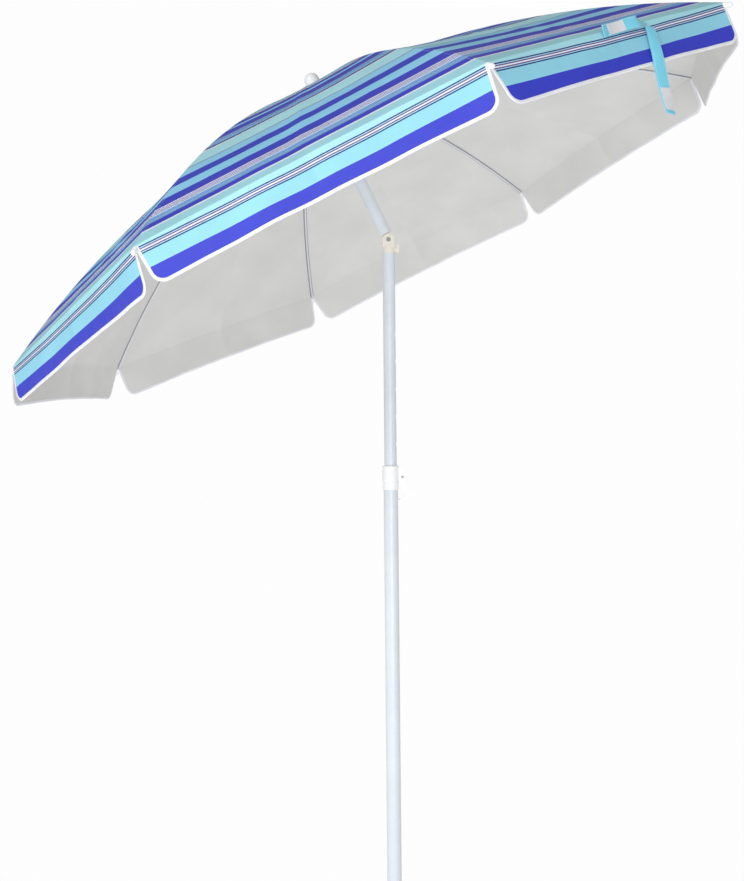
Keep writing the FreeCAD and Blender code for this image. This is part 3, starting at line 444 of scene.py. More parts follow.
def print_group() -> bpy.types.NodeTree:
    """Printed bands of the cloth, from the flap's hem to the crown.

    Returns:
        Group with the input Distance, in metres above the rim, and the output Color.
    """
    tree, graph, given, wanted = new_group(
        "printed_bands", [("Distance", "Float", 0.0)], [("Color", "Color")])
    ends = [band.start for band in PRINT[1:]] + [PRINT_END]
    lines = [line for band, end in zip(PRINT, ends) for line in band.lines(end)]
    colour = None
    for first in range(0, len(lines), RAMP_STOPS):
        part = lines[first:first + RAMP_STOPS]
        low = part[0][0] * MM
        high = (lines[first + RAMP_STOPS][0] if first + RAMP_STOPS < len(lines) else PRINT_END) * MM
        ramp = graph.add("ValToRGB")
        ramp.color_ramp.interpolation = "CONSTANT"
        stops = ramp.color_ramp.elements
        stops.remove(stops[1])
        for index, (start, ink) in enumerate(part):
            place = (start * MM - low) / (high - low)
            stop = stops[0] if index == 0 else stops.new(place)
            stop.position = place
            stop.color = ink.linear()
        graph.feed(ramp.inputs[0], graph.remap(given["Distance"], low, high, 0.0, 1.0))
        if colour is None:
            colour = ramp.outputs[0]
        else:
            colour = graph.mix(graph.math("GREATER_THAN", given["Distance"], low), colour, ramp.outputs[0])
    graph.feed(wanted["Color"], colour)
    return tree


@dataclass(frozen=True)
class Effects:
    """The shared node groups."""

    weave: bpy.types.NodeTree
    stitch: bpy.types.NodeTree
    grain: bpy.types.NodeTree
    wear: bpy.types.NodeTree
    bands: bpy.types.NodeTree

    @classmethod
    def build(cls) -> "Effects":
        """Build every group once and return them."""
        return cls(weave_group(), stitch_group(), grain_group(), wear_group(), print_group())


def new_material(name: str) -> tuple[bpy.types.Material, Graph, bpy.types.Node]:
    """Start a material.

    Args:
        name: the material's name.

    Returns:
        The material, its graph and its Principled BSDF.
    """
    material = bpy.data.materials.new(name)
    material.use_nodes = True
    shader = material.node_tree.nodes["Principled BSDF"]
    return material, Graph(material.node_tree), shader


@dataclass(frozen=True)
class Cloth:
    """Polyester cloth: printed outside or coated inside."""

    name: str
    printed: bool
    tint: tuple[int, int, int] = (255, 255, 255)
    roughness: float = 0.45
    sheen: float = 0.1
    seam_reach: float = 0.0035
    pitch: float = 0.0007
    sewn: tuple[int, int, int] = (168, 168, 172)
    sewn_on_print: tuple[int, int, int] = (205, 214, 236)

    def build(self, effects: Effects) -> bpy.types.Material:
        """Make the material.

        Args:
            effects: the shared node groups.

        Returns:
            The material.
        """
        material, graph, shader = new_material(self.name)
        place = graph.add("UVMap", uv_map=CLOTH_UV).outputs[0]
        across, along, _ = graph.split(place)
        weave = graph.group(effects.weave, Vector=place, Pitch=self.pitch)
        slow = graph.noise(place, scale=9.0, detail=4.0)
        crush = graph.noise(place, scale=46.0, detail=5.0)
        beside = graph.math("SUBTRACT", graph.math("ABSOLUTE", across), self.seam_reach)
        stitch = graph.group(effects.stitch, Along=along, Across=beside)
        if self.printed:
            base = graph.group(effects.bands, Distance=along).outputs[0]
        else:
            base = linear(self.tint)
        shade = graph.math("MULTIPLY", weave.outputs["Shade"], graph.remap(slow, 0.3, 0.7, 0.94, 1.04))
        base = graph.shaded(base, shade)
        thread = linear(self.sewn_on_print if self.printed else self.sewn)
        base = graph.mix(graph.math("MULTIPLY", stitch.outputs["Mask"], 0.6), base, thread)
        graph.feed(shader.inputs["Base Color"], base)
        graph.feed(shader.inputs["Roughness"],
                   graph.remap(crush, 0.3, 0.7, self.roughness - 0.05, self.roughness + 0.07))
        shader.inputs["Sheen Weight"].default_value = self.sheen
        shader.inputs["Specular IOR Level"].default_value = 0.3
        wrinkle = graph.bump(crush, strength=0.22, distance=0.004)
        threads = graph.bump(weave.outputs["Height"], 0.25, 0.0003, wrinkle)
        graph.feed(shader.inputs["Normal"], graph.bump(stitch.outputs["Height"], 0.5, 0.0006, threads))
        return material


@dataclass(frozen=True)
class Tape:
    """Woven tape or webbing with a row of stitches along each edge, laid out along V and across U."""

    name: str
    tint: tuple[int, int, int]
    thread: tuple[int, int, int]
    stitch_rows: tuple[float, ...]
    pitch: float = 0.0009
    roughness: float = 0.7

    def build(self, effects: Effects) -> bpy.types.Material:
        """Make the material.

        Args:
            effects: the shared node groups.

        Returns:
            The material.
        """
        material, graph, shader = new_material(self.name)
        place = graph.add("UVMap", uv_map=CLOTH_UV).outputs[0]
        across, along, _ = graph.split(place)
        weave = graph.group(effects.weave, Vector=place, Pitch=self.pitch)
        slow = graph.noise(place, scale=30.0, detail=3.0)
        shade = graph.math("MULTIPLY", weave.outputs["Shade"], graph.remap(slow, 0.3, 0.7, 0.95, 1.03))
        base = graph.shaded(linear(self.tint), shade)
        normal = graph.bump(weave.outputs["Height"], strength=0.5, distance=0.0004)
        for row in self.stitch_rows:
            stitch = graph.group(effects.stitch, Along=along, Across=graph.math("SUBTRACT", across, row))
            base = graph.mix(graph.math("MULTIPLY", stitch.outputs["Mask"], 0.8), base, linear(self.thread))
            normal = graph.bump(stitch.outputs["Height"], 0.6, 0.0006, normal)
        graph.feed(shader.inputs["Base Color"], base)
        graph.feed(shader.inputs["Roughness"],
                   graph.remap(slow, 0.3, 0.7, self.roughness - 0.05, self.roughness + 0.08))
        shader.inputs["Sheen Weight"].default_value = 0.2
        graph.feed(shader.inputs["Normal"], normal)
        return material


@dataclass(frozen=True)
class Fuzz:
    """Hook and loop tape: a field of tiny loops."""

    name: str
    tint: tuple[int, int, int]

    def build(self, effects: Effects) -> bpy.types.Material:
        """Make the material.

        Args:
            effects: the shared node groups.

        Returns:
            The material.
        """
        material, graph, shader = new_material(self.name)
        place = graph.add("TexCoord").outputs["Object"]
        grain = graph.group(effects.grain, Vector=place, Fine=1500.0, Coarse=160.0)
        cells = graph.add("TexVoronoi")
        graph.feed(cells.inputs["Vector"], place)
        cells.inputs["Scale"].default_value = 900.0
        pale = linear(self.tint)
        dark = linear(self.tint, 0.72)
        graph.feed(shader.inputs["Base Color"],
                   graph.mix(graph.remap(cells.outputs["Distance"], 0.0, 0.7, 0.0, 1.0), pale, dark))
        graph.feed(shader.inputs["Roughness"], graph.remap(grain.outputs["Gloss"], 0.2, 1.0, 0.75, 0.95))
        shader.inputs["Sheen Weight"].default_value = 0.4
        graph.feed(shader.inputs["Normal"], graph.bump(cells.outputs["Distance"], 0.7, 0.0008))
        return material


@dataclass(frozen=True)
class Hard:
    """Paint, plastic or metal with grain, gloss changes and wear."""

    name: str
    tint: tuple[int, int, int]
    worn: tuple[int, int, int]
    roughness: float
    metallic: float = 0.0
    grain: float = 900.0
    depth: float = 0.0001
    wear: float = 0.2
    coat: float = 0.0

    def build(self, effects: Effects) -> bpy.types.Material:
        """Make the material.

        Args:
            effects: the shared node groups.

        Returns:
            The material.
        """
        material, graph, shader = new_material(self.name)
        place = graph.add("TexCoord").outputs["Object"]
        grain = graph.group(effects.grain, Vector=place, Fine=self.grain, Coarse=14.0)
        wear = graph.group(effects.wear, Vector=place, Amount=self.wear)
        base = graph.mix(grain.outputs["Tint"], linear(self.tint), linear(self.tint, 0.93))
        base = graph.mix(graph.math("MULTIPLY", wear.outputs["Rub"], 0.45), base, linear(self.worn))
        base = graph.mix(graph.math("MULTIPLY", wear.outputs["Chip"], 0.5), base, linear(self.worn, 0.8))
        graph.feed(shader.inputs["Base Color"], base)
        rough = graph.remap(grain.outputs["Gloss"], 0.3, 1.0, self.roughness - 0.06, self.roughness + 0.08)
        graph.feed(shader.inputs["Roughness"],
                   graph.math("ADD", rough, graph.math("MULTIPLY", wear.outputs["Rub"], 0.12)))
        shader.inputs["Metallic"].default_value = self.metallic
        shader.inputs["Coat Weight"].default_value = self.coat
        graph.feed(shader.inputs["Normal"], graph.bump(grain.outputs["Height"], 0.35, self.depth))
        return material


class Finishes:
    """Every material of the umbrella, built once."""

    def __init__(self) -> None:
        """Build the shared effects and all materials."""
        effects = Effects.build()
        self.printed = Cloth("printed_polyester", True, roughness=0.45, sheen=0.0).build(effects)
        self.silver = Cloth("silver_coating", False, (217, 217, 216), roughness=0.5,
                            sheen=0.05).build(effects)
        self.binding = Tape("binding_tape", (245, 246, 250), (222, 226, 236), (0.0013, 0.0097)).build(effects)
        self.seam = Tape("seam_allowance", (146, 147, 162), (198, 198, 204), (0.0,),
                         pitch=0.0007, roughness=0.6).build(effects)
        self.strap = Tape("strap_cloth", (120, 214, 240), (214, 240, 250), (0.0016, 0.0164),
                          pitch=0.0008, roughness=0.6).build(effects)
        self.fuzz = Fuzz("hook_and_loop_tape", (240, 242, 246)).build(effects)
        self.paint = Hard("pole_powder_coat", (224, 230, 238), (200, 204, 212), 0.32, grain=650.0,
                          wear=0.15, coat=0.25).build(effects)
        self.white = Hard("white_plastic", (250, 251, 253), (225, 226, 228), 0.38, wear=0.1).build(effects)
        self.ivory = Hard("ivory_plastic", (238, 232, 222), (220, 212, 198), 0.42, wear=0.15).build(effects)
        self.rivet = Hard("dull_steel", (150, 149, 144), (182, 181, 178), 0.42, metallic=0.6,
                          wear=0.3).build(effects)
        self.wire = Hard("bright_wire", (196, 198, 202), (226, 226, 228), 0.3, metallic=1.0,
                         wear=0.3).build(effects)
        self.lacquer = Hard("rib_lacquer", (226, 228, 232), (150, 152, 158), 0.35, metallic=0.2, wear=0.35,
                            coat=0.2).build(effects)

    def dress_frame(self) -> None:
        """Give every carried-over node its finish."""
        by_slot = {
            "pole": self.paint, "white_plastic": self.white, "knuckle_plastic": self.ivory,
            "rivet_steel": self.rivet, "spring_wire": self.wire, "rib_wire": self.lacquer,
            "tip_plastic": self.white, "canopy_cloth": self.silver, "strap_webbing": self.strap,
            "hook_and_loop": self.fuzz,
        }
        for part in frame["record"]["subparts"]:
            mesh = frame["nodes"][part["node"]].data
            mesh.materials.clear()
            mesh.materials.append(by_slot[part["material_slot"]])


# ---------------------------------------------------------------- geometry of the canopy


class UpperPole:
    """Axes of the leaned upper pole, read from the joints."""

    def __init__(self) -> None:
        """Read the tilt pivot and the runner's direction."""
        self.pivot = Vector(JOINTS["tilt"]["pos_m"])
        self.up = -Vector(JOINTS["runner_slide"]["axis"]).normalized()
        self.side = Vector(JOINTS["tilt"]["axis"]).normalized()
        self.front = self.side.cross(self.up).normalized()

    def inside(self, point: Vector) -> Vector:
        """Return a point's coordinates on the upper pole's own axes."""
        offset = point - self.pivot
        return Vector((offset.dot(self.front), offset.dot(self.side), offset.dot(self.up)))

    def out(self, azimuth: float) -> Vector:
        """Return the unit vector away from the pole at an azimuth."""
        return self.front * math.cos(azimuth) + self.side * math.sin(azimuth)

    def around(self, azimuth: float) -> Vector:
        """Return the unit vector round the pole at an azimuth."""
        return self.side * math.cos(azimuth) - self.front * math.sin(azimuth)

    def point(self, reach: float, azimuth: float, height: float) -> Vector:
        """Return a point from its distance, azimuth and height above the tilt pivot."""
        return self.pivot + self.out(azimuth) * reach + self.up * height


# Degrees that each flap hangs outwards from the pole's own line, at its gore's first rib and at its second.
FLAP_TURNS = (
    (21.0, 8.0), (12.7, 12.7), (3.7, 3.7), (0.0, 0.0), (3.7, 3.7), (12.7, 12.7), (21.7, 21.7), (40.0, 31.0),
)
# The flaps' waves: weight, half turns from the gore's middle to a rib, and shift from gore to gore.
FLAP_WAVES = ((1.0, 2.1, 1.7), (0.6, 4.6, 2.9))
# Softness of the stretched cloth: weight and fineness of each noise.
SOFTNESS = ((0.7, 11.0), (0.3, 31.0))


@dataclass
class CanopyShape:
    """Sizes of the canopy and the surface that they give."""

    pole: UpperPole
    tip_circle: float = 0.700
    tip_height: float = 0.050
    bow: float = 0.040
    tip_cover: float = 0.006
    crown_opening: float = 0.025
    lift: float = 0.0034
    thickness: float = 0.0012
    flap_height: float = 0.067
    flap_corner: float = 0.022
    flap_gap: float = 0.006
    rim_bow: float = 0.007
    hollow: float = 0.004
    ripple: float = 0.0014
    crease_reach: float = 0.1
    rim_pulls: int = 5
    flap_wave: float = 0.0022
    flap_curl: float = 0.0018
    hem_rise: float = 0.15

    def __post_init__(self) -> None:
        """Work out the rib's arc from its pivot and its end."""
        pin = self.pole.inside(Vector(JOINTS["rib_hinge_1"]["pos_m"]))
        hub_circle = math.hypot(pin.x, pin.y)
        run, fall = self.tip_circle - hub_circle, pin.z - self.tip_height
        chord = math.hypot(run, fall)
        self.radius = (chord ** 2 / 4 + self.bow ** 2) / (2 * self.bow)
        slope, half = math.atan2(fall, run), math.asin(chord / 2 / self.radius)
        sink = self.radius - self.bow
        self.centre_out = (self.tip_circle + hub_circle) / 2 - sink * math.sin(slope)
        self.centre_up = (pin.z + self.tip_height) / 2 - sink * math.cos(slope)
        self.rim = slope + half - self.tip_cover / self.radius
        self.crown = math.asin((self.crown_opening - self.centre_out) / (self.radius + self.lift))
        self.half_width = self.reach(self.rim) * math.sin(HALF_STEP)
        self.azimuths = []
        for rib in range(1, RIBS + 1):
            pin = self.pole.inside(Vector(JOINTS[f"rib_hinge_{rib}"]["pos_m"]))
            self.azimuths.append(math.atan2(pin.y, pin.x))

    def azimuth(self, rib: int) -> float:
        """Return the azimuth of a rib, counted from 1 and going round."""
        return self.azimuths[(rib - 1) % RIBS]

    def middle(self, gore: int) -> float:
        """Return the azimuth half way from a rib to the next one."""
        return self.azimuth(gore) + HALF_STEP

    def reach(self, slope: float, lift: float | None = None) -> float:
        """Return the distance from the pole's axis at a slope of the rib."""
        return self.centre_out + (self.radius + (self.lift if lift is None else lift)) * math.sin(slope)

    def height(self, slope: float, lift: float | None = None) -> float:
        """Return the height above the tilt pivot at a slope of the rib."""
        return self.centre_up + (self.radius + (self.lift if lift is None else lift)) * math.cos(slope)

    def above_rim(self, slope: float) -> float:
        """Return the distance from the rim along the cloth."""
        return (self.rim - slope) * self.radius

    def normal(self, gore: int, slope: float) -> Vector:
        """Return the outward normal of a gore at a slope."""
        tilt = math.atan(math.tan(slope) / math.cos(HALF_STEP))
        return self.pole.out(self.middle(gore)) * math.sin(tilt) + self.pole.up * math.cos(tilt)

    def rim_inset(self, share: float) -> float:
        """Return how far the rim bows towards the crown, at a share from -1 to 1 across the gore."""
        return self.rim_bow * (1 - share * share)

    def rim_slope(self, share: float) -> float:
        """Return the slope of the rib at which the roof ends."""
        return self.rim - self.rim_inset(share) / self.radius

    def roof(self, gore: int, share: float, slope: float) -> Vector:
        """Return a point of the cloth's outer face.

        Args:
            gore: number of the rib that the gore starts at.
            share: -1 at that rib, 0 in the middle and 1 at the next rib.
            slope: slope of the rib line at this row.

        Returns:
            The point, with the hollow and the creases of the stretched cloth.
        """
        reach, height = self.reach(slope), self.height(slope)
        first = self.pole.point(reach, self.azimuth(gore), height)
        second = self.pole.point(reach, self.azimuth(gore + 1), height)
        flat = first.lerp(second, (1 + share) / 2)
        run = (slope - self.crown) / (self.rim - self.crown)
        free = 1 - share * share
        inward = self.hollow * free * math.sin(math.pi * min(1.0, max(0.0, run)))
        slack = 1 - min(1.0, max(0.0, run)) ** 6
        crease = self.ripple * max(0.0, 1 - abs(share) / self.crease_reach) * (0.3 + 0.7 * run) * slack
        soft = sum(weight * noise.noise(flat * fineness) for weight, fineness in SOFTNESS)
        pull = math.sin(self.rim_pulls * math.pi * share) * free * max(0.0, run) ** 5
        rise = crease + self.ripple * free * (soft * 1.3 * (0.25 + 0.75 * slack) + 0.2 * pull) - inward
        return flat + self.normal(gore, slope) * rise

    def hang(self, gore: int, share: float = 0.0) -> tuple[Vector, Vector]:
        """Find how a flap hangs.

        Args:
            gore: number of the rib that the gore starts at.
            share: -1 to 1 across the gore.

        Returns:
            The flap's direction downwards and its outward normal.
        """
        first, second = FLAP_TURNS[(gore - 1) % RIBS]
        turn = math.radians(first + (second - first) * (1 + share) / 2)
        out, up = self.pole.out(self.middle(gore)), self.pole.up
        return out * math.sin(turn) - up * math.cos(turn), out * math.cos(turn) + up * math.sin(turn)

    def flap(self, gore: int, share: float, drop: float, proud: float = 0.0) -> Vector:
        """Return a point of the hanging flap.

        Args:
            gore: number of the rib that the gore starts at.
            share: -1 to 1 across the gore.
            drop: distance below the fold, up to flap_height.
            proud: distance outside the flap's outer face.

        Returns:
            The point, with the flap's wave.
        """
        inset = self.rim_inset(share)
        fold = self.roof(gore, share, self.rim_slope(share))
        down, out = self.hang(gore, share)
        fall = drop * (1 - self.hem_rise * inset / self.flap_height)
        low = max(0.0, drop) / self.flap_height
        sway = sum(weight * math.sin(turns * math.pi * share + shift * gore)
                   for weight, turns, shift in FLAP_WAVES)
        wave = self.flap_wave * sway * 0.5 * low * (1 - share ** 4)
        curl = self.flap_curl * low ** 3
        return fold + down * fall + out * (wave - curl + proud)

    def share_at(self, side: int, run: float, slope: float | None = None) -> float:
        """Return the share across a gore at a distance from the rib.

        Args:
            side: 1 for the gore after the rib and -1 for the gore before it.
            run: distance from the rib along the row.
            slope: slope of the row, or None for the rim.

        Returns:
            Share from -1 to 1.
        """
        half = self.half_width if slope is None else self.reach(slope) * math.sin(HALF_STEP)
        return side * (run / half - 1)

    def outline(self, step: float, inward: float = 0.0) -> tuple[float, float]:
        """Return a point of the half flap's free edge.

        Args:
            step: 0 to 1 down the side, 1 to 2 round the corner and 2 to 3 along the hem.
            inward: distance inside the edge.

        Returns:
            Distance from the rib and distance below the fold.
        """
        bend, tall = self.flap_corner, self.flap_height
        corner_out = self.flap_gap + bend
        if step <= 1:
            drop = step * (tall - bend)
            return self.flap_gap * drop / (tall - bend) + inward, drop
        if step <= 2:
            angle = (step - 1) * math.pi / 2
            return (corner_out - (bend - inward) * math.cos(angle),
                    tall - bend + (bend - inward) * math.sin(angle))
        return corner_out + (step - 2) * (self.half_width - corner_out), tall - inward


# ---------------------------------------------------------------- making meshes


def deselect_all() -> None:
    """Leave nothing selected and nothing in edit mode."""
    if bpy.context.object and bpy.context.object.mode != "OBJECT":
        bpy.ops.object.mode_set(mode="OBJECT")
    bpy.ops.object.select_all(action="DESELECT")


def apply_modifier(piece: bpy.types.Object, kind: str, **settings: object) -> None:
    """Add a modifier to a piece and apply it.

    Args:
        piece: the object.
        kind: the modifier's type.
        **settings: the modifier's properties.
    """
    deselect_all()
    bpy.context.view_layer.objects.active = piece
    piece.select_set(True)
    modifier = piece.modifiers.new(kind.lower(), kind)
    for name, value in settings.items():
        setattr(modifier, name, value)
    bpy.ops.object.modifier_apply(modifier=modifier.name)


def smooth(piece: bpy.types.Object, angle: float = 30.0) -> None:
    """Shade a piece smooth, with sharp edges left crisp.

    Args:
        piece: the object.
        angle: edges sharper than this many degrees stay crisp.
    """
    deselect_all()
    bpy.context.view_layer.objects.active = piece
    piece.select_set(True)
    bpy.ops.object.shade_smooth_by_angle(angle=math.radians(angle))


class SheetMesh:
    """A cloth mesh that is laid down row by row, with its own flat coordinates."""

    def __init__(self, name: str) -> None:
        """Start an empty mesh.

        Args:
            name: name of the piece that it becomes.
        """
        self.name = name
        self.mesh = bmesh.new()
        self.uv = self.mesh.loops.layers.uv.new(CLOTH_UV)

    def lay(self, rows: Rows, flip: bool = False, closed: bool = False, finish: int = 0) -> None:
        """Add a grid of faces.

        Args:
            rows: rows of points with their flat coordinates.
            flip: turn the faces over.
            closed: join each row's end to its start.
            finish: index of the material.
        """
        corners = [[self.mesh.verts.new(point) for point, _ in row] for row in rows]
        for upper in range(len(rows) - 1):
            count = len(rows[upper])
            for left in range(count if closed else count - 1):
                right = (left + 1) % count
                loop = [(upper, left), (upper, right), (upper + 1, right), (upper + 1, left)]
                if flip:
                    loop.reverse()
                face = self.mesh.faces.new([corners[i][j] for i, j in loop])
                face.smooth = True
                face.material_index = finish
                for corner, (i, j) in zip(face.loops, loop):
                    corner[self.uv].uv = rows[i][j][1]

    def finish(self, materials: Iterable[bpy.types.Material]) -> bpy.types.Object:
        """Weld the grids together and make the object.

        Args:
            materials: the piece's materials.

        Returns:
            The new object.
        """
        bmesh.ops.remove_doubles(self.mesh, verts=self.mesh.verts, dist=WELD)
        data = bpy.data.meshes.new(self.name)
        self.mesh.to_mesh(data)
        self.mesh.free()
        for material in materials:
            data.materials.append(material)
        piece = bpy.data.objects.new(self.name, data)
        bpy.context.scene.collection.objects.link(piece)
        return piece


@dataclass
class Canopy:
    """The sewn canopy: eight cloth sections, their tapes and seams, and the crown patch."""

    shape: CanopyShape
    finishes: Finishes
    columns: int = 30
    roof_rows: int = 90
    side_rows: int = 8
    corner_rows: int = 9
    hem_steps: int = 44
    tape_width: float = 0.0042
    tape_flat: float = 0.011
    tape_lift: float = 0.0005
    tape_thickness: float = 0.0003
    tape_turn: float = 0.0004
    edge_start: float = 0.04
    edge_count: int = 10
    seam_inner: float = 0.0025
    seam_outer: float = 0.0043
    seam_rows: int = 70
    seam_start: float = 0.03
    seam_run: float = 0.965
    seam_gap: float = 0.0002
    seam_thickness: float = 0.0005
    seam_flat: float = 0.010
    crown_inner: float = 0.0105
    crown_outer: float = 0.045
    crown_rings: int = 14
    crown_points: int = 96
    crown_lift: float = 0.0009
    crown_thickness: float = 0.0009
    crown_pucker: float = 0.0003
    crown_print: float = 0.70
    hub_top: float = 0.0046
    hub_edge: float = 0.020
    hub_slope: float = 0.010
    fullness: float = 1.03
    fold_keep: float = 0.27

    def build(self) -> None:
        for rib in range(1, RIBS + 1):
            self.section(rib)
            self.binding(rib)
            self.seam(rib)
        self.crown_patch()

    def gore_of(self, rib: int, side: int) -> int:
        """Return the gore on a side of a rib."""
        return rib if side > 0 else rib - 1

    def fold_with(self, piece: bpy.types.Object, rib: int) -> None:
        """Make a piece ride on a rib.

        Args:
            piece: the cloth piece.
            rib: number of the rib.
        """
        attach(piece, f"rib_{rib}")
        axis = self.shape.pole.around(self.shape.azimuth(rib))
        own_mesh(piece)

    def roof_rows_of(self, rib: int, side: int) -> Rows:
        """Lay out the roof from a rib to the middle of the gore beside it.

        Args:
            rib: number of the rib.
            side: 1 for the gore after the rib and -1 for the gore before it.

        Returns:
            Rows from the crown to the rim.
        """
        shape, gore = self.shape, self.gore_of(rib, side)
        rows = []
        for row in range(self.roof_rows + 1):
            part = row / self.roof_rows
            points = []
            for column in range(self.columns + 1):
                share = side * (column / self.columns - 1)
                slope = shape.crown + (shape.rim_slope(share) - shape.crown) * part
                across = side * (1 - abs(share)) * shape.reach(slope) * math.sin(HALF_STEP)
                points.append((shape.roof(gore, share, slope), (across, shape.above_rim(slope))))
            rows.append(points)
        return rows

    def flap_rows_of(self, rib: int, side: int) -> Rows:
        """Lay out half a flap from the rib's gap to the middle of the gore.

        Args:
            rib: number of the rib.
            side: 1 for the gore after the rib and -1 for the gore before it.

        Returns:
            Rows from the fold to the hem.
        """
        shape, gore = self.shape, self.gore_of(rib, side)
        steps = [step / self.side_rows for step in range(self.side_rows + 1)]
        steps += [1 + step / self.corner_rows for step in range(1, self.corner_rows + 1)]
        rows = []
        for step in steps:
            start, drop = shape.outline(step)
            points = []
            for column in range(self.columns + 1):
                run = start + (shape.half_width - start) * column / self.columns
                share = shape.share_at(side, run)
                inset = shape.rim_inset(share)
                below = inset - drop * (1 + 0.5 * inset / shape.flap_height)
                points.append((shape.flap(gore, share, drop), (side * run, below)))
            rows.append(points)
        return rows

    def section(self, rib: int) -> None:
        """Build the printed cloth of the two half gores on a rib, coated on its inner side.

        Args:
            rib: number of the rib.
        """
        sheet = SheetMesh(f"canopy_cloth_{rib}")
        for side in (1, -1):
            flip = side > 0
            sheet.lay(self.roof_rows_of(rib, side), flip)
            sheet.lay(self.flap_rows_of(rib, side), flip)
        piece = sheet.finish([self.finishes.printed, self.finishes.silver])
        apply_modifier(piece, "SOLIDIFY", thickness=self.shape.thickness, offset=-1.0, material_offset=1,
                       material_offset_rim=0, use_even_offset=True)
        smooth(piece, 22.0)
        self.fold_with(piece, rib)
        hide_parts(f"canopy_section_{rib}")
        length = self.shape.above_rim(self.shape.crown) + self.shape.flap_height
        width = 2 * self.shape.half_width
        gore_area = self.shape.half_width * self.shape.above_rim(self.shape.crown) * self.fullness
        log.info("%s: %.3f x %.3f m", piece.name, width, length)

    def edge_steps(self) -> list[float]:
        """List the steps along a half flap's free edge.

        Returns:
            Steps that outline takes, from just below the fold to the gore's middle.
        """
        start, count = self.edge_start, self.edge_count
        steps = [start + (1 - start) * step / count for step in range(count + 1)]
        steps += [1 + step / count for step in range(1, count + 1)]
        steps += [2 + step / self.hem_steps for step in range(1, self.hem_steps + 1)]
        return steps

    def binding(self, rib: int) -> None:
        """Build the white tape folded over the free edges of the two half flaps beside a rib.

        Args:
            rib: number of the rib.
        """
        shape, wide, lift = self.shape, self.tape_width, self.tape_lift
        inner = -shape.thickness - lift
        profile = [(wide, lift * 0.7), (wide * 0.5, lift), (self.tape_turn, lift),
                   (-lift, -shape.thickness / 2),
                   (self.tape_turn, inner), (wide * 0.5, inner), (wide, inner + lift * 0.3)]
        sheet = SheetMesh(f"flap_binding_{rib}")
        length = 0.0
        for side in (1, -1):
            gore, rows, before, along = self.gore_of(rib, side), [], None, 0.0
            for step in self.edge_steps():
                points = []
                run, drop = shape.outline(step)
                here = shape.flap(gore, shape.share_at(side, run), drop)
                along += (here - before).length if before else 0.0
                before = here
                for place, (inward, proud) in enumerate(profile):
                    run, drop = shape.outline(step, inward)
                    point = shape.flap(gore, shape.share_at(side, run), drop, proud)
                    points.append((point, (place / (len(profile) - 1) * self.tape_flat, along)))
                rows.append(points)
            sheet.lay(rows, side < 0)
            length += along
        piece = sheet.finish([self.finishes.binding])
        apply_modifier(piece, "SOLIDIFY", thickness=self.tape_thickness, offset=-1.0)
        smooth(piece, 60.0)
        self.fold_with(piece, rib)
        log.info("%s: %.3f m of tape", piece.name, length)

    def seam(self, rib: int) -> None:
        """Build the two pressed-open seam allowances under the cloth, one on each side of a rib.

        Args:
            rib: number of the rib.
        """
        shape = self.shape
        sheet = SheetMesh(f"seam_allowance_{rib}")
        under = shape.thickness + self.seam_gap
        for side in (1, -1):
            gore, rows = self.gore_of(rib, side), []
            for row in range(self.seam_rows + 1):
                part = self.seam_start + self.seam_run * row / self.seam_rows
                slope = shape.crown + (shape.rim - shape.crown) * part
                points = []
                for place in range(4):
                    run = self.seam_inner + (self.seam_outer - self.seam_inner) * place / 3
                    share = shape.share_at(side, run, slope)
                    point = shape.roof(gore, share, slope) - shape.normal(gore, slope) * under
                    points.append((point, (run - self.seam_inner, shape.above_rim(slope))))
                rows.append(points)
            sheet.lay(rows, side < 0)
        piece = sheet.finish([self.finishes.seam])
        apply_modifier(piece, "SOLIDIFY", thickness=self.seam_thickness, offset=-1.0)
        smooth(piece, 40.0)
        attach(piece, f"rib_{rib}")
        length = shape.above_rim(shape.crown) * self.seam_run

    def crown_patch(self) -> None:
        """Build the round patch that covers the middle of the canopy."""
        shape, pole = self.shape, self.shape.pole
        low, high = self.crown_inner, self.crown_outer
        flat_top = pole.inside(Vector(JOINTS["rib_hinge_1"]["pos_m"])).z + self.hub_top
        sheet = SheetMesh("crown_cover")
        rows = []
        for ring in range(self.crown_rings + 1):
            reach = low + (high - low) * ring / self.crown_rings
            points = []
            for step in range(self.crown_points):
                azimuth = shape.azimuth(1) + 2 * math.pi * step / self.crown_points
                turn = (azimuth - shape.azimuth(1)) % (2 * HALF_STEP) - HALF_STEP
                rib_reach = reach * math.cos(turn) / math.cos(HALF_STEP)
                slope = math.asin((rib_reach - shape.centre_out) / (shape.radius + shape.lift))
                height = shape.height(slope) + self.crown_lift
                settle = eased((reach - self.hub_edge) / self.hub_slope)
                height = max(height, flat_top * (1 - settle) + height * settle)
                gather = math.sin(RIBS * 3 * (azimuth - shape.azimuth(1))) * ring / self.crown_rings
                points.append((pole.point(reach, azimuth, height + self.crown_pucker * gather),
                               (reach * math.cos(azimuth), reach * math.sin(azimuth) + self.crown_print)))
            rows.append(points)
        sheet.lay(rows, closed=True)
        piece = sheet.finish([self.finishes.printed, self.finishes.silver])
        apply_modifier(piece, "SOLIDIFY", thickness=self.crown_thickness, offset=-1.0, material_offset=1)
        smooth(piece, 50.0)
        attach(piece, "upper_pole")
        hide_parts("crown_patch")


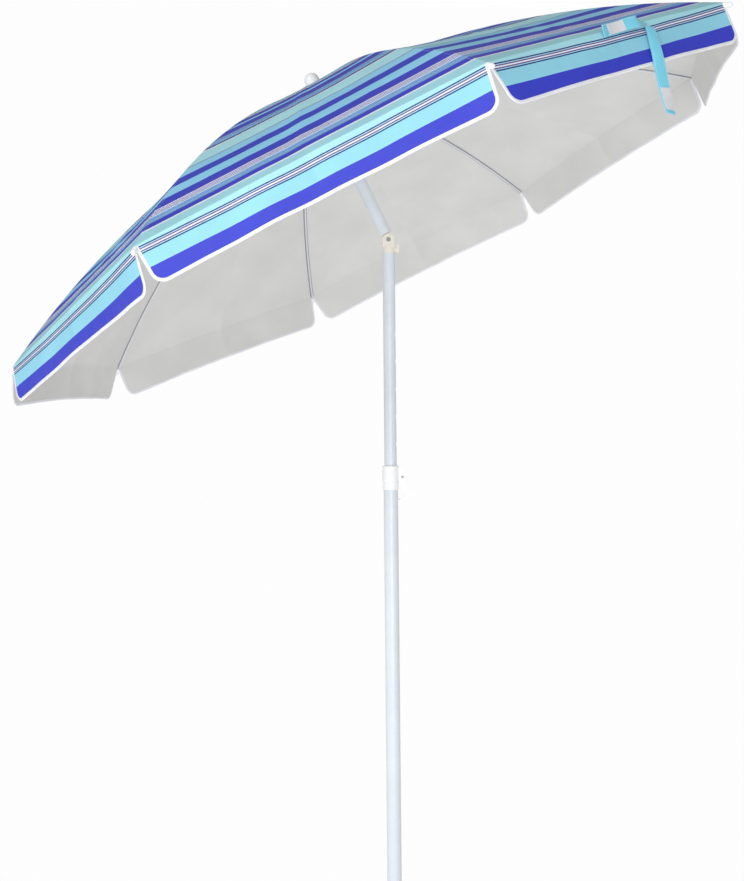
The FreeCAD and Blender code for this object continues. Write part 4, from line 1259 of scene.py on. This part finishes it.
@dataclass
class ClosingStrap:
    """The strap sewn at the rim: a standing end, a hanging end, and hook and loop patches."""

    shape: CanopyShape
    canopy: Canopy
    finishes: Finishes
    rib: int = 4
    width: float = 0.018
    thickness: float = 0.0014
    from_middle: float = 0.077
    below_rim: float = 0.009
    slit_drop: float = 0.015
    slit_shift: float = 0.008
    stand: float = math.radians(20.0)
    swing: float = math.radians(21.8)
    laid_length: float = 0.104
    hung_length: float = 0.144
    patch_length: float = 0.036
    patch_width: float = 0.016
    patch_thickness: float = 0.0011
    patch_proud: float = 0.0012
    hook_back: float = 0.014
    loop_back: float = 0.006
    laid_gap: float = 0.0060
    laid_bow: float = 0.0030
    laid_twist: float = math.radians(75.0)
    laid_roll: float = math.radians(14.0)
    twist_run: float = 0.030
    hung_gap: float = 0.0030
    hung_sway: float = 0.0016
    hung_twist: float = 0.0022
    hung_cup: float = 0.0006

    @property
    def gore(self) -> int:
        """Gore that the strap is sewn to."""
        return self.rib - 1

    def on_roof(self, from_middle: float, above: float, proud: float) -> Vector:
        """Find a point over the roof.

        Args:
            from_middle: distance from the gore's middle.
            above: distance above the rim.
            proud: distance outside the cloth.

        Returns:
            The point.
        """
        share = from_middle / self.shape.half_width
        slope = self.shape.rim_slope(share) - above / self.shape.radius
        return self.shape.roof(self.gore, share, slope) + self.shape.normal(self.gore, slope) * proud

    def strip(self, name: str, rows: Rows, material: bpy.types.Material, thickness: float, length: float,
              width: float, slot: str, rests_on: list[str], held: str) -> bpy.types.Object:
        """Args:
            name: the piece's name.
            rows: rows of points on the strip's outer face.
            material: the strip's finish.
            thickness: the strip's thickness.
            length: its cut length; not used.
            width: its cut width; not used.
            slot: the record's material slot; not used.
            rests_on: what it lies on.
            held: how the strip is held; not used.

        Returns:
            The piece.
        """
        sheet = SheetMesh(name)
        sheet.lay(rows)
        piece = sheet.finish([material])
        apply_modifier(piece, "SOLIDIFY", thickness=thickness, offset=-1.0)
        smooth(piece, 50.0)
        self.canopy.fold_with(piece, self.rib)
        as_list(rests_on)
        return piece

    def laid_rows(self, start: float, length: float, width: float, proud: float) -> Rows:
        """Lay out a strip that stands on its edge along the rim, towards the middle of the gore.

        Args:
            start: distance from the strap's sewn point to the strip's start.
            length: length of the strip.
            width: width of the strip.
            proud: distance outside the strap's own middle.

        Returns:
            Rows across the strip, from its start to its end.
        """
        pole, gore = self.shape.pole, self.gore
        normal = self.shape.normal(gore, self.shape.rim)
        uphill = pole.around(self.shape.middle(gore)).cross(normal).normalized()
        if uphill.dot(pole.up) < 0:
            uphill.negate()
        rows = []
        steps = max(8, round(length / 0.004))
        for step in range(steps + 1):
            along = start + length * step / steps
            lean = self.laid_twist * (1 - eased(along / self.twist_run)) + self.stand
            lean += self.laid_roll * math.sin(math.pi * along / self.laid_length)
            breadth = normal * math.cos(lean) + uphill * math.sin(lean)
            facing = normal * math.sin(lean) - uphill * math.cos(lean)
            foot = self.on_roof(self.from_middle - along, 0.0, 0.0) + facing * self.laid_gap
            foot -= pole.up * self.below_rim
            bow = self.laid_bow * math.sin(2 * math.pi * along / self.laid_length)
            points = []
            for place in range(5):
                across = self.width / 2 + (place / 4 - 0.5) * width
                point = foot + breadth * across + facing * (proud + bow)
                points.append((point, (across, along)))
            rows.append(points)
        return rows

    def hung_rows(self, start: float, length: float, width: float, proud: float) -> Rows:
        """Lay out a strip that leaves the rim and hangs beside the flap, pulled by its weight.

        Args:
            start: distance from the flap's slit to the strip's start.
            length: length of the strip.
            width: width of the strip.
            proud: distance outside the strap's own middle.

        Returns:
            Rows across the strip, from its start to its end.
        """
        pole, gore = self.shape.pole, self.gore
        flap_down, out = self.shape.hang(gore)
        along_rim = pole.around(self.shape.middle(gore))
        heading = flap_down * math.cos(self.swing) - along_rim * math.sin(self.swing)
        beside = along_rim * math.cos(self.swing) + flap_down * math.sin(self.swing)
        share = (self.from_middle + self.slit_shift) / self.shape.half_width
        top = self.shape.flap(gore, share, self.slit_drop) - beside * self.width / 2
        rows = []
        steps = round(length / 0.002)
        for step in range(steps + 1):
            gone = start + length * step / steps
            sway = self.hung_sway * math.sin(gone * 40.0)
            twist = self.hung_twist * math.sin(gone * 24.0)
            points = []
            for column in range(5):
                across = (column / 4 - 0.5) * width
                cup = self.hung_cup * (2 * across / width) ** 2
                away = proud + self.hung_gap + sway + twist * 2 * across / width - cup
                point = top + heading * gone + beside * across + out * away
                points.append((point, (across + self.width / 2, gone)))
            rows.append(points)
        return rows

    def build(self) -> None:
        """Build both ends of the strap and both patches."""
        cloth = f"canopy_cloth_{self.rib}"
        webbing = (self.finishes.strap, self.thickness)
        laid = self.strip("strap_laid_end", self.laid_rows(0.0, self.laid_length, self.width, 0.0), *webbing,
                          self.laid_length, self.width, "strap_webbing", [cloth], "stretched")
        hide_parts("closing_strap")
        self.strip("strap_hanging_end", self.hung_rows(0.0, self.hung_length, self.width, 0.0), *webbing,
                   self.hung_length, self.width, "strap_webbing", [cloth], "hung")
        size = (self.patch_length, self.patch_width)
        fuzz = (self.finishes.fuzz, self.patch_thickness)
        start = self.laid_length - self.patch_length - self.hook_back
        hook = self.strip("hook_tape", self.laid_rows(start, *size, self.patch_proud), *fuzz, *size,
                          "hook_and_loop", ["strap_laid_end"], "stretched")
        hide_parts("hook_patch")
        start = self.hung_length - self.patch_length - self.loop_back
        loop = self.strip("loop_tape", self.hung_rows(start, *size, self.patch_proud), *fuzz, *size,
                          "hook_and_loop", ["strap_hanging_end"], "hung")
        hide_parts("loop_patch")
        log.info("closing strap: two ends and two patches")


# ---------------------------------------------------------------- stage and camera


@dataclass(frozen=True)
class Lamp:
    """One large soft light."""

    name: str
    place: tuple[float, float, float]
    size: float
    power: float


@dataclass(frozen=True)
class Studio:
    """Pale floor, soft lights and the camera."""

    lamps: tuple[Lamp, ...] = (Lamp("key", (-2.4, -3.4, 3.0), 2.6, 88.0),
                               Lamp("fill", (0.5, -4.4, 0.8), 2.0, 60.0))
    lit_point: tuple[float, float, float] = (0.0, 0.0, 1.5)
    camera_place: tuple[float, float, float] = (0.0, -2.420, 1.0225)
    yaw: float = math.radians(-0.786)
    pitch: float = math.radians(0.607)
    roll: float = math.radians(-0.54)
    lens: float = 54.76
    floor_size: float = 80.0
    world_strength: float = 0.26
    backdrop: float = 0.985
    floor_glow: float = 0.66

    def build(self) -> None:
        """Make the floor, the world, the lights and the camera."""
        self.floor()
        self.world()
        for lamp in self.lamps:
            self.light(lamp)
        self.camera()

    def floor(self) -> None:
        """Make the plain pale floor under the lowest point."""
        deselect_all()
        bpy.ops.mesh.primitive_plane_add(size=self.floor_size, location=(0, 0, CAD_BOX[0].z - MM))
        floor = bpy.context.object
        floor.name = "studio_floor"
        material, graph, shader = new_material("studio_floor")
        seen = graph.add("LightPath").outputs["Is Camera Ray"]
        graph.feed(shader.inputs["Base Color"], graph.mix(seen, (0.6, 0.6, 0.6, 1.0), (0.0, 0.0, 0.0, 1.0)))
        shader.inputs["Roughness"].default_value = 0.9
        shader.inputs["Specular IOR Level"].default_value = 0.0
        shader.inputs["Emission Color"].default_value = (1.0, 1.0, 1.0, 1.0)
        graph.feed(shader.inputs["Emission Strength"],
                   graph.remap(seen, 0.0, 1.0, self.floor_glow, self.backdrop))
        floor.data.materials.append(material)

    def world(self) -> None:
        """Make the even white surroundings."""
        world = bpy.data.worlds.new("studio")
        world.use_nodes = True
        graph = Graph(world.node_tree)
        background = world.node_tree.nodes["Background"]
        background.inputs["Color"].default_value = (1.0, 1.0, 1.0, 1.0)
        seen = graph.add("LightPath").outputs["Is Camera Ray"]
        graph.feed(background.inputs["Strength"],
                   graph.remap(seen, 0.0, 1.0, self.world_strength, self.backdrop))
        bpy.context.scene.world = world
        bpy.context.scene.view_settings.view_transform = "Standard"

    def light(self, lamp: Lamp) -> None:
        """Make a light that faces the canopy.

        Args:
            lamp: the light's name, place, size and power.
        """
        data = bpy.data.lights.new(lamp.name, "AREA")
        data.size = lamp.size
        data.energy = lamp.power
        light = bpy.data.objects.new(lamp.name, data)
        bpy.context.scene.collection.objects.link(light)
        light.location = lamp.place
        aim = Vector(self.lit_point) - Vector(lamp.place)
        light.rotation_mode = "QUATERNION"
        light.rotation_quaternion = aim.to_track_quat("-Z", "Y")

    def camera(self) -> None:
        """Make the camera at eye level in front of the pole."""
        data = bpy.data.cameras.new("camera")
        data.lens = self.lens
        camera = bpy.data.objects.new("camera", data)
        bpy.context.scene.collection.objects.link(camera)
        ahead = Vector((math.sin(self.yaw) * math.cos(self.pitch), math.cos(self.yaw) * math.cos(self.pitch),
                        math.sin(self.pitch)))
        level = ahead.cross(Vector((0, 0, 1))).normalized()
        top = level.cross(ahead)
        right = level * math.cos(self.roll) + top * math.sin(self.roll)
        top = right.cross(ahead)
        turn = Matrix((right, top, -ahead)).transposed()
        camera.matrix_world = Matrix.Translation(self.camera_place) @ turn.to_4x4()
        bpy.context.scene.camera = camera


def main() -> None:
    """Build the umbrella's visible pieces in order."""
    logging.basicConfig(level=logging.INFO, format="%(message)s")
    deselect_all()
    finishes = Finishes()
    finishes.dress_frame()
    Studio().build()
    shape = CanopyShape(UpperPole())
    canopy = Canopy(shape, finishes)
    canopy.build()
    ClosingStrap(shape, canopy, finishes).build()


if __name__ == "__main__":
    main()
